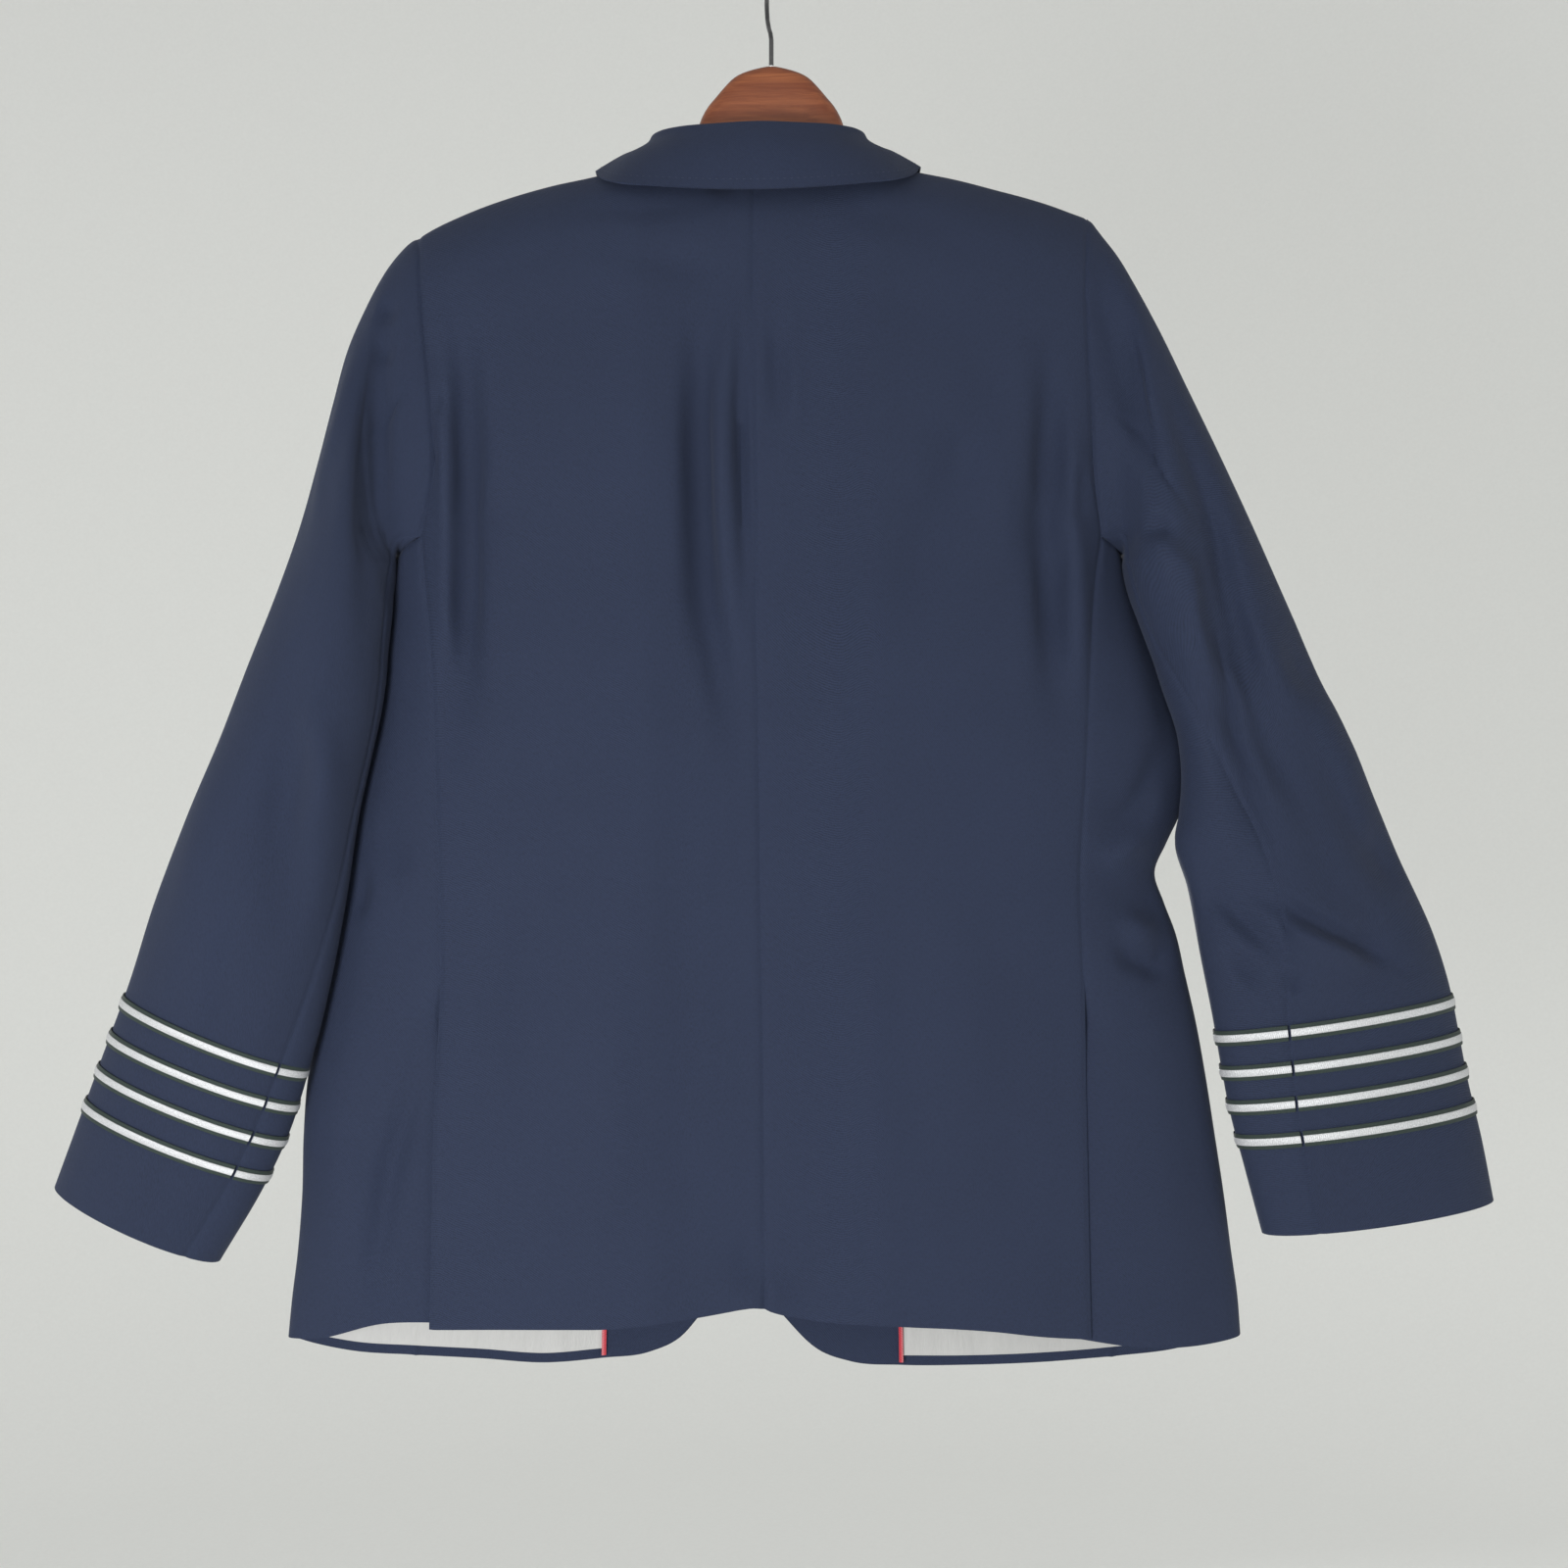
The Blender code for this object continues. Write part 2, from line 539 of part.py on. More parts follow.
def sleeve_grid(loop, stations, folds, side):
    """Rings from the armhole to the cuff. Returns the rings with closing copies."""
    top, low = loop[0], loop[ARMPIT_ROW + (len(SIDE_COLUMNS) - 1) // 2]
    middle, half = (top + low) / 2, (top - low) / 2
    across = half.normalized()
    out = Vector((side, 0, 0)) - across * across.x * side
    out.normalize()
    start = [((p - middle).dot(across) / half.length, p.y, (p - middle).dot(out)) for p in loop]
    rings = [loop]
    for number, (ox, oz, ix, iz, deep_back, deep_front, hind) in enumerate(stations, 1):
        outer, inner = Vector((ox, 0, oz)), Vector((ix, 0, iz))
        centre, arm = (outer + inner) / 2, (outer - inner) / 2
        stay = max(0.0, 1 - number / CAP_STATIONS)
        ring = []
        for (a0, y0, bow), turn in zip(start, ring_turns(hind)):
            angle = radians(turn)
            depth = deep_back if turn < 180 else deep_front
            a1, y1 = cos(angle), -depth * sin(angle)
            point = centre + arm * mix(a1, a0, stay * stay)
            lean = SLEEVE_LEAN * min(1.0, number / SLEEVE_LEAN_FULL) * (1 - a1) / 2
            point.y = mix(y1 + lean, y0, stay * stay)
            point += out * bow * stay * stay
            if turn < 180:
                point.y -= sin(angle) * fold_height(point.x, point.z, folds)
            else:
                down = SLEEVE_DOWN * number / len(stations)
                point.y -= sin(angle) * fold_height(down, turn, SLEEVE_FOLDS_FRONT)
            ring.append(point)
        rings.append(ring)
    return rings


def surface_normals(grids):
    """Outward normals at each grid point, shared where panels meet at a seam."""
    sums = {}

    def key(point):
        return tuple(round(value * 50) for value in point)

    for grid, sign in grids:
        for upper, lower in zip(grid, grid[1:]):
            for k in range(len(upper) - 1):
                corners = (upper[k], upper[k + 1], lower[k + 1], lower[k])
                normal = (corners[2] - corners[0]).cross(corners[3] - corners[1]) * sign
                for corner in corners:
                    sums.setdefault(key(corner), Vector((0, 0, 0)))
                    sums[key(corner)] += normal

    def normal_at(point):
        normal = sums[key(point)].copy()
        if abs(point.y) < 0.01 and point.z > RIDGE[0][1] - 2:
            normal.y = 0
        return normal.normalized()

    return normal_at


def wall(name, outer, inner, material, collection):
    """Closed cloth wall between an outer and an inner grid of the same size."""
    rows, columns = len(outer), len(outer[0])
    shell = bmesh.new()
    skins = [[[shell.verts.new(point * MM) for point in line] for line in grid] for grid in (outer, inner)]
    for level, skin in enumerate(skins):
        for i in range(rows - 1):
            for j in range(columns - 1):
                quad = (skin[i][j], skin[i][j + 1], skin[i + 1][j + 1], skin[i + 1][j])
                for corner in (quad[:3], (quad[0], quad[2], quad[3])):
                    shell.faces.new(corner if level == 0 else corner[::-1])
    border = [(0, j) for j in range(columns - 1)] + [(i, columns - 1) for i in range(rows - 1)]
    border += [(rows - 1, j) for j in range(columns - 1, 0, -1)] + [(i, 0) for i in range(rows - 1, 0, -1)]
    for here, there in zip(border, border[1:] + border[:1]):
        shell.faces.new((skins[0][there[0]][there[1]], skins[0][here[0]][here[1]],
                         skins[1][here[0]][here[1]], skins[1][there[0]][there[1]]))
    bmesh.ops.recalc_face_normals(shell, faces=shell.faces)
    bmesh.ops.triangulate(shell, faces=shell.faces, quad_method="FIXED")
    return finish_mesh(name, shell, material, collection)


def finish_mesh(name, shell, material, collection):
    """Put a finished shell in the collection as a named object."""
    mesh = bpy.data.meshes.new(name)
    shell.to_mesh(mesh)
    shell.free()
    mesh.shade_smooth()
    mesh.set_sharp_from_angle(angle=radians(SHARP_ANGLE))
    mesh.materials.append(material)
    thing = bpy.data.objects.new(name, mesh)
    collection.objects.link(thing)
    return thing


def trimmed(grid, gap):
    """Grid pulled back from its seams by half the gap on each edge."""
    moved = [[point.copy() for point in line] for line in grid]
    for line, old in zip(moved, grid):
        line[0] += (old[1] - old[0]).normalized() * gap / 2
        line[-1] += (old[-2] - old[-1]).normalized() * gap / 2
    for column in range(len(grid[0])):
        moved[0][column] += (grid[1][column] - grid[0][column]).normalized() * gap / 2
        moved[-1][column] += (grid[-2][column] - grid[-1][column]).normalized() * gap / 2
    return moved


def cloth_wall(name, grid, normal_at, thick, gap, material, collection):
    """Wall of one cut piece, pulled back from its seams."""
    normals = [[normal_at(point) for point in line] for line in grid]
    outer = trimmed(grid, gap)
    inner = [[p - n * thick for p, n in zip(line, way)] for line, way in zip(outer, normals)]
    return wall(name, outer, inner, material, collection)


def row_sample(grid, row, reach):
    """Point at a distance along a row from its first column."""
    line = grid[row]
    for a, b in zip(line, line[1:]):
        length = (b - a).length
        if reach <= length:
            return a.lerp(b, reach / length)
        reach -= length
    return line[-1].copy()


def lying_wall(name, grid, normals, lift, thick, material, collection):
    """Wall that lies on a panel: its points moved out along the panel's normals."""
    near = [[p + n * lift for p, n in zip(line, way)] for line, way in zip(grid, normals)]
    far = [[p + n * (lift + thick) for p, n in zip(line, way)] for line, way in zip(grid, normals)]
    return wall(name, far, near, material, collection)


def lapel(name, panel, normal_at, material, collection):
    """Turned back top of a front, from the gorge down to where it rolls over."""
    grid, normals = [], []
    for step, width in enumerate(LAPEL_WIDTHS):
        row = LAPEL_FIRST_ROW + step
        line = [row_sample(panel, row, width * share) for share in LAPEL_SHARES]
        grid.append(line)
        normals.append([normal_at(panel[row][min(k, 3)]) for k in range(len(line))])
    for line, way in zip(grid, normals):
        line[0] += (line[1] - line[0]).normalized() * SEAM_GAP
    return lying_wall(name, grid, normals, LAPEL_LIFT, CLOTH, material, collection)


def inside_strip(name, lines, normal_at, raise_hem, inset, material, collection):
    """Strip on the inside of a front, a facing or a lining, from rows down to the hem."""
    grid, normals = [], []
    for number, points in enumerate(lines):
        line = [point.copy() for point in points]
        if number == len(lines) - 1:
            for point, above in zip(line, lines[-2]):
                up = above - point
                point += up.normalized() * min(raise_hem, 0.8 * up.length)
        line[0] += (points[1] - points[0]).normalized() * inset
        grid.append(line)
        normals.append([normal_at(point) for point in points])
    for line in grid:
        line[-1] += (line[-2] - line[-1]).normalized() * SEAM_GAP
        line[0] += (line[1] - line[0]).normalized() * SEAM_GAP
    start = -(CLOTH + SKIN_GAP + LINING_WALL)
    return lying_wall(name, grid, normals, start, LINING_WALL, material, collection)


def piping(name, panel, normal_at, material, collection):
    """Cord edge that covers the join of facing and lining on the inside."""
    lift = CLOTH + SKIN_GAP + LINING_WALL + SKIN_GAP
    grid, normals = [], []
    for row in range(LINING_TOP_ROW, LAST_ROW + 1):
        point = panel[row][PIPING_COLUMN].copy()
        along = (panel[row][PIPING_COLUMN + 1] - point).normalized()
        if row == LAST_ROW:
            point = point.lerp(panel[row - 1][PIPING_COLUMN], PIPING_RISE)
        grid.append([point - along * PIPING_WIDTH / 2, point + along * PIPING_WIDTH / 2])
        normals.append([normal_at(panel[row][PIPING_COLUMN])] * 2)
    return lying_wall(name, grid, normals, -(lift + PIPING_WALL), PIPING_WALL, material, collection)


def braid(name, rings, line, normal_at, hind, material, collection):
    """Band round a sleeve on its faceted surface, broken at the hind seam."""
    ox, oz, ix, iz = line
    count = len(rings[0])
    order = [(hind + step) % count for step in range(count + 1)]
    grid, normals = [], []
    for half in (-BRAID_WIDTH / 2, BRAID_WIDTH / 2):
        points, ways = [], []
        for column in order:
            share = min(1.0, max(0.0, share_across(rings, column)))
            target = mix(oz, iz, share) - half
            x_target = mix(ox, ix, share)
            point, way = sample_down(rings, column, Vector((x_target, 0, target)), normal_at)
            points.append(point)
            ways.append(way)
        grid.append(points)
        normals.append(ways)
    for points in grid:
        points[0] += (points[1] - points[0]).normalized() * BRAID_BREAK
        points[-1] += (points[-2] - points[-1]).normalized() * BRAID_BREAK
    return lying_wall(name, grid, normals, BRAID_LIFT, BRAID_WALL, material, collection)


def share_across(rings, column):
    """Share of the way from a ring's outer to its inner edge, near the cuff."""
    ring = rings[-2]
    outer = ring[0]
    inner = min(ring, key=lambda p: abs(p.x))
    span = inner - outer
    span.y = 0
    return (ring[column] - outer).dot(span) / span.length_squared


def sample_down(rings, column, target, normal_at):
    """Point where a sleeve's lengthwise line passes the height of a target."""
    down = rings[-1][column] - rings[-4][column]
    down.y = 0
    down.normalize()
    for upper, lower in zip(rings[-8:], rings[-7:]):
        a, b = upper[column], lower[column]
        start = (target - a).dot(down)
        end = (target - b).dot(down)
        if start >= 0 >= end:
            t = start / (start - end)
            return a.lerp(b, t), normal_at(a).lerp(normal_at(b), t).normalized()
    return rings[-1][column].copy(), normal_at(rings[-1][column])


def collar(material, collection):
    """Collar in one wall: stand up from the neck seam, roll over and fall outside."""
    stations = []
    for side in (-1, 1):
        part = [tuple(row) for row in COLLAR]
        for row in (part[:0:-1] if side < 0 else part):
            points = []
            for k in (0, 3, 6):
                x = side * row[k]
                points.append(Vector((COLLAR_MIDDLE + x, row[k + 1], row[k + 2] + x * COLLAR_TILT)))
            stations.append(points)
    grid = []
    up = Vector((0, 0, 1))
    for seam, roll, edge in stations:
        outward = Vector((roll.x - COLLAR_MIDDLE, roll.y - COLLAR_CENTRE_Y, 0)).normalized()
        over = roll + outward * COLLAR_ROLL - up * ROLL_DROP
        swell = outward * COLLAR_BULGE * min(1.0, (edge - over).length / FALL_FULL)
        grid.append([
            seam,
            seam.lerp(roll, 0.5),
            roll,
            roll + outward * COLLAR_ROLL * ROLL_NEAR[0] + up * ROLL_NEAR[1],
            roll + outward * COLLAR_ROLL * ROLL_CROWN[0] + up * ROLL_CROWN[1],
            over,
            over.lerp(edge, FALL_UPPER[0]) + swell * FALL_UPPER[1],
            over.lerp(edge, FALL_LOWER[0]) + swell * FALL_LOWER[1],
            edge,
        ])
    normal_at = surface_normals([(grid, 1)])
    inner = [[p - normal_at(p) * COLLAR_WALL for p in line] for line in grid]
    return wall("collar", grid, inner, material, collection)


def hanger_body(material, collection):
    """Wooden hanger: oval sections along its length, closed at both ends."""
    rows = [(-x, top, low, half) for x, top, low, half in HANGER[:0:-1]] + list(HANGER)
    shell = bmesh.new()
    rings = []
    for x, top, low, half in rows:
        middle, tall = (top + low) / 2, (top - low) / 2
        ring = []
        for step in range(HANGER_SIDES):
            turn = 2 * pi * step / HANGER_SIDES
            y = half * abs(sin(turn)) ** 0.8 * (1 if sin(turn) >= 0 else -1)
            z = middle + tall * abs(cos(turn)) ** 0.9 * (1 if cos(turn) >= 0 else -1)
            ring.append(shell.verts.new(Vector((x, y, z)) * MM))
        rings.append(ring)
    for a, b in zip(rings, rings[1:]):
        for k in range(HANGER_SIDES):
            nxt = (k + 1) % HANGER_SIDES
            shell.faces.new((a[k], a[nxt], b[nxt], b[k]))
    shell.faces.new(rings[0])
    shell.faces.new(rings[-1][::-1])
    bmesh.ops.recalc_face_normals(shell, faces=shell.faces)
    bmesh.ops.triangulate(shell, faces=shell.faces, quad_method="FIXED")
    return finish_mesh("hanger_body", shell, material, collection)


def hanger_hook(material, collection):
    """Bent wire: a stem on the hanger's top and a round hook over the rail."""
    radius = HOOK_INNER + WIRE / 2
    centre = -HOOK_INNER
    way = [(0.0, HANGER[0][1] + SEAM_GAP)] + list(STEM)
    for step in range(HOOK_STEPS):
        turn = radians(HOOK_START + step * HOOK_STEP)
        way.append((radius * cos(turn), centre + radius * sin(turn)))
    curve = bpy.data.curves.new("hanger_hook", "CURVE")
    curve.dimensions = "3D"
    curve.bevel_depth = WIRE / 2 * MM
    curve.bevel_resolution = 2
    curve.use_fill_caps = True
    line = curve.splines.new("POLY")
    line.points.add(len(way) - 1)
    yaw = radians(HOOK_YAW)
    for point, (side, z) in zip(line.points, way):
        point.co = (-side * sin(yaw) * MM, side * cos(yaw) * MM, z * MM, 1.0)
    curve.materials.append(material)
    thing = bpy.data.objects.new("hanger_hook", curve)
    collection.objects.link(thing)
    return thing


def button(name, place, material, collection):
    """Domed metal button, turned about its own axis and facing the front."""
    shell = bmesh.new()
    chain = [shell.verts.new((r * MM, 0, h * MM)) for r, h in BUTTON_PROFILE]
    for a, b in zip(chain, chain[1:]):
        shell.edges.new((a, b))
    mesh = bpy.data.meshes.new(name)
    shell.to_mesh(mesh)
    shell.free()
    mesh.materials.append(material)
    thing = bpy.data.objects.new(name, mesh)
    collection.objects.link(thing)
    turned = thing.modifiers.new("Turned", "SCREW")
    turned.axis = "Z"
    turned.steps = BUTTON_STEPS
    turned.render_steps = BUTTON_STEPS
    turned.use_merge_vertices = True
    turned.merge_threshold = 0.00001
    turned.use_normal_calculate = True
    thing.matrix_world = Matrix.Translation(place * MM) @ Matrix.Rotation(radians(-90), 4, "X")
    return thing


def make_material(name, colour, roughness, metallic=0.0):
    material = bpy.data.materials.new(name)
    material.use_nodes = True
    shader = material.node_tree.nodes["Principled BSDF"]
    shader.inputs["Base Color"].default_value = (*colour, 1.0)
    shader.inputs["Roughness"].default_value = roughness
    shader.inputs["Metallic"].default_value = metallic
    return material


def build():
    for thing in list(bpy.data.objects):
        bpy.data.objects.remove(thing, do_unlink=True)
    collection = bpy.data.collections.new("pilot_uniform_jacket")
    bpy.context.scene.collection.children.link(collection)

    navy = make_material("navy_wool", (0.022, 0.029, 0.052), 0.8)
    grey = make_material("grey_lining", (0.60, 0.60, 0.59), 0.5)
    red = make_material("red_piping", (0.45, 0.02, 0.03), 0.5)
    silver = make_material("silver_braid", (0.75, 0.76, 0.78), 0.4, 0.6)
    wood = make_material("brown_wood", (0.25, 0.09, 0.035), 0.45)
    steel = make_material("steel_wire", (0.62, 0.62, 0.62), 0.3, 1.0)

    back_left = torso_panel(CENTRE_BACK, BACK_SIDE_LEFT, BACK_COLUMNS, BACK_HEM, False)
    back_right = torso_panel(CENTRE_BACK, BACK_SIDE_RIGHT, BACK_COLUMNS, BACK_HEM, False)
    front_left = torso_panel(FRONT_EDGE_LEFT, FRONT_SIDE_LEFT, FRONT_COLUMNS, FRONT_HEM_LEFT, True,
                             OVERLAP_LIFT_LEFT)
    front_right = torso_panel(FRONT_EDGE_RIGHT, FRONT_SIDE_RIGHT, FRONT_COLUMNS, FRONT_HEM_RIGHT, True,
                              OVERLAP_LIFT_RIGHT)
    side_left = side_panel(back_left, front_left, SIDE_HEM_LEFT, FRONT_HEM_LEFT, -1)
    side_right = side_panel(back_right, front_right, SIDE_HEM_RIGHT, FRONT_HEM_RIGHT, 1)
    for back, front in ((back_left, front_left), (back_right, front_right)):
        front[0][-1] = back[0][-1].copy()

    loop_left = armhole_loop(back_left, side_left, front_left)
    loop_right = armhole_loop(back_right, side_right, front_right)
    rings_left = sleeve_grid(loop_left, SLEEVE_LEFT, SLEEVE_FOLDS_LEFT, -1)
    rings_right = sleeve_grid(loop_right, SLEEVE_RIGHT, SLEEVE_FOLDS_RIGHT, 1)

    hind, fore = ARMPIT_ROW, ARMPIT_ROW + len(SIDE_COLUMNS) + 1
    closed_left = [ring + [ring[0]] for ring in rings_left]
    closed_right = [ring + [ring[0]] for ring in rings_right]
    normal_at = surface_normals([
        (back_left, 1), (back_right, -1), (front_left, -1), (front_right, 1),
        (side_left, 1), (side_right, -1), (closed_left, -1), (closed_right, 1),
    ])

    panels = {
        "back_left": back_left, "back_right": back_right, "front_left": front_left,
        "front_right": front_right, "side_left": side_left, "side_right": side_right,
    }
    for side, rings in (("left", rings_left), ("right", rings_right)):
        count = len(rings[0])
        top = [(fore + k) % count for k in range((hind - fore) % count + 1)]
        under = list(range(hind, fore + 1))
        panels["sleeve_top_" + side] = [[ring[k] for k in top] for ring in rings]
        panels["sleeve_under_" + side] = [[ring[k] for k in under] for ring in rings]
    for name, grid in panels.items():
        is_sleeve = name.startswith("sleeve")
        thick, gap = (SLEEVE_CLOTH, SLEEVE_SEAM_GAP) if is_sleeve else (CLOTH, SEAM_GAP)
        cloth_wall(name, grid, normal_at, thick, gap, navy, collection)

    for side, panel, wrap in (("left", front_left, side_left), ("right", front_right, side_right)):
        lapel("lapel_" + side, panel, normal_at, navy, collection)
        lines = [panel[row][:PIPING_COLUMN + 1] for row in range(FACING_TOP_ROW, LAST_ROW + 1)]
        inside_strip("facing_" + side, lines, normal_at, FACING_RISE, FACING_INSET, navy, collection)
        lines = [panel[row][PIPING_COLUMN:] + wrap[row - ARMPIT_ROW][-2:LINING_SIDE_COLUMN:-1]
                 for row in range(LINING_TOP_ROW, LAST_ROW + 1)]
        inside_strip("lining_" + side, lines, normal_at, LINING_RISE, 0.0, grey, collection)
        piping("piping_" + side, panel, normal_at, red, collection)
    for side, rings, lines in (("left", rings_left, BRAIDS_LEFT), ("right", rings_right, BRAIDS_RIGHT)):
        for number, line in enumerate(lines, 1):
            name = "braid_%s_%d" % (side, number)
            braid(name, rings, line, normal_at, hind, silver, collection)

    collar(navy, collection)
    hanger_body(wood, collection)
    hanger_hook(steel, collection)
    for number, height in enumerate(BUTTON_HEIGHTS, 1):
        x = table_value(FRONT_EDGE_LEFT, height) - BUTTON_INSET
        y = torso_y(x, height, True) + overlap_lift(BUTTON_INSET, height, OVERLAP_LIFT_LEFT) + BUTTON_STAND
        button("button_%d" % number, Vector((x, y, height)), silver, collection)


build()
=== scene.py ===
"""Looks of a pilot uniform jacket that hangs on a wooden hanger, seen from the back.

Each cloth piece is remade as a fine thin shell on the form of its solid: the grid of the
solid's outer skin is read back, sampled smoothly, creased and given a thickness.
Tables are in millimetres and degrees, and everything else is in metres.
"""
import json
from math import cos, pi, radians, sin

import bmesh
import bpy
import numpy as np
from bpy.props import FloatProperty, FloatVectorProperty, IntProperty, PointerProperty
from mathutils import Matrix, Vector

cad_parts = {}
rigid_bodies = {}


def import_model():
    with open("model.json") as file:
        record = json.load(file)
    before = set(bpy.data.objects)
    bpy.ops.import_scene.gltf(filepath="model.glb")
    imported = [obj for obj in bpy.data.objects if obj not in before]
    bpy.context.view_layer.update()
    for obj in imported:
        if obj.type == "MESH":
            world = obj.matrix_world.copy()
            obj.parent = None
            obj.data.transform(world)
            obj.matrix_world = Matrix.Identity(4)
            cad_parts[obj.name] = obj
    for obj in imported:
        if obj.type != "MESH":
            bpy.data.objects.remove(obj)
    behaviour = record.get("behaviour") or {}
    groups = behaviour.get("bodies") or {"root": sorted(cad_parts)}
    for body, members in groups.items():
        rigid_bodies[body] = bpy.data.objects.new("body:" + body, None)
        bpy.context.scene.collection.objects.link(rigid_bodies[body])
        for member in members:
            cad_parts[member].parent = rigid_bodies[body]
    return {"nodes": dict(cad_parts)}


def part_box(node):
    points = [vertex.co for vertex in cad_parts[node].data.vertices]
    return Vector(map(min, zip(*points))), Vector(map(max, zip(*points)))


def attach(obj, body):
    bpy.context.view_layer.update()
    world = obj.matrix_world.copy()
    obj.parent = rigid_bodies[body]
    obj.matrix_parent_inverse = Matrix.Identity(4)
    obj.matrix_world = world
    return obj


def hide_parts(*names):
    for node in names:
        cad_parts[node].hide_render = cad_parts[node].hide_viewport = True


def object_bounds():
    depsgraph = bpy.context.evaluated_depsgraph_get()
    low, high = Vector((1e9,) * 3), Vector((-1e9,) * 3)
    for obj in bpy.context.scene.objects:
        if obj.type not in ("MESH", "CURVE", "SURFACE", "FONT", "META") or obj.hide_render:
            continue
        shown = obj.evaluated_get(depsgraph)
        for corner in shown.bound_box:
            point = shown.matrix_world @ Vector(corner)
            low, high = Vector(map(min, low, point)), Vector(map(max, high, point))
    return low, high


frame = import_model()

bl_info = {
    "name": "Pilot Uniform Jacket",
    "version": (1, 0, 0),
    "blender": (4, 5, 0),
    "location": "View3D > Sidebar > Jacket",
    "description": "Builds the cloth, trim and hanger of a pilot uniform jacket round its packed solids",
    "category": "Object",
}

MM = 0.001
CAD_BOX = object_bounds()

# Wall thickness of each kind of solid, which tells its skins from its edges
BODY_WALL = 1.8
SLEEVE_WALL = 1.5
COLLAR_WALL = 1.5
SKIN_WALL = 1.2
BRAID_WALL = 1.3
PIPING_WALL = 1.6

# The camera of the photograph, level and square on to the hanger
CAMERA_PLACE = (0.0083, -1.300, -0.540)
CAMERA_LENS = 45.7
FLOOR_DROP = 0.95
BACKDROP_HEIGHT = 4.4
HANG_MIDDLE = Vector((0.0, 0.0, -0.55))

# Creases on the back: half width, height (a trough is below nought), then its way as x and z
BACK_CREASES = [
    (9, -4.2, ((-37, -226), (-43, -268), (-46, -312), (-44, -370), (-42, -420), (-34, -472), (-24, -515))),
    (4.8, -2.4, ((-18, -240), (-20, -300), (-18, -350), (-15, -400), (-13, -440))),
    (7.5, 2.6, ((-27, -236), (-31, -300), (-31, -370), (-27, -430), (-20, -480))),
    (6, -1.4, ((3, -236), (5, -276), (8, -320))),
    (6, 1.0, ((12, -240), (14, -290), (15, -330))),
    (15, -2.0, ((154, -257), (136, -301), (117, -347), (95, -400), (84, -450))),
    (9, -3.6, ((182, -246), (177, -301), (175, -369), (178, -431), (185, -500))),
    (7.5, 2.4, ((193, -306), (192, -369), (196, -440), (197, -508))),
    (4.5, -1.4, ((199, -330), (197, -380))),
    (9, -4.0, ((-198, -232), (-195, -283), (-194, -341), (-194, -399), (-197, -457), (-201, -520))),
    (6, 2.2, ((-209, -250), (-207, -320), (-206, -390), (-207, -460))),
    (4.5, -1.4, ((-212, -284), (-212, -308))),
    (4.5, -1.2, ((-217, -322), (-216, -340))),
    (7.5, -0.9, ((-140, -176), (-80, -178), (-24, -174))),
    (6, -1.0, ((-44, -162), (-20, -160))),
    (10.5, -1.0, ((-110, -205), (-60, -212), (-20, -216))),
    (9, -0.8, ((30, -178), (80, -182), (130, -190))),
    (13.5, 1.2, ((-30, -852), (-8, -868), (14, -852))),
    (10.5, -1.2, ((-28, -870), (-16, -850), (-10, -820))),
    (18, -1.2, ((-150, -580), (-160, -680), (-150, -780))),
    (21, 1.0, ((-90, -600), (-100, -720), (-96, -840))),
    (18, -1.0, ((60, -560), (76, -680), (84, -800))),
    (21, 1.0, ((120, -600), (128, -720), (130, -840))),
    (12, -1.6, ((-226, -600), (-240, -590), (-262, -560))),
    (7.5, -2.6, ((-222, -690), (-232, -738), (-246, -788), (-254, -840), (-257, -890))),
    (6, -1.8, ((-262, -590), (-268, -620), (-272, -632))),
    (6, -1.6, ((-276, -546), (-284, -556))),
    (6, -1.4, ((-281, -594), (-288, -606))),
    (9, -2.4, ((206, -580), (220, -570), (238, -552), (248, -530), (254, -500))),
    (7.5, 1.8, ((210, -592), (226, -584), (244, -566))),
    (7.5, -3.0, ((218, -636), (232, -652), (248, -658), (262, -640))),
    (7.5, 1.8, ((222, -622), (238, -634), (254, -632))),
]
# Like creases on the hidden front
FRONT_CREASES = [
    (9, -3.2, ((-186, -240), (-182, -300), (-184, -380), (-190, -470))),
    (7.5, 1.8, ((-196, -260), (-193, -330), (-196, -420))),
    (9, -3.2, ((166, -240), (162, -310), (164, -400), (172, -480))),
    (7.5, 1.8, ((176, -270), (173, -350), (178, -430))),
    (12, -1.8, ((-34, -420), (-70, -462), (-120, -500), (-170, -520))),
    (12, -1.8, ((18, -430), (60, -470), (110, -505), (160, -530))),
    (10.5, -1.4, ((-30, -540), (-80, -560), (-140, -552))),
    (10.5, -1.4, ((20, -545), (70, -568), (130, -566))),
    (18, 1.4, ((-110, -600), (-122, -720), (-120, -880))),
    (18, 1.4, ((88, -600), (104, -720), (102, -880))),
    (18, -1.4, ((-66, -620), (-70, -740), (-64, -860))),
    (18, -1.4, ((46, -620), (54, -740), (50, -860))),
]
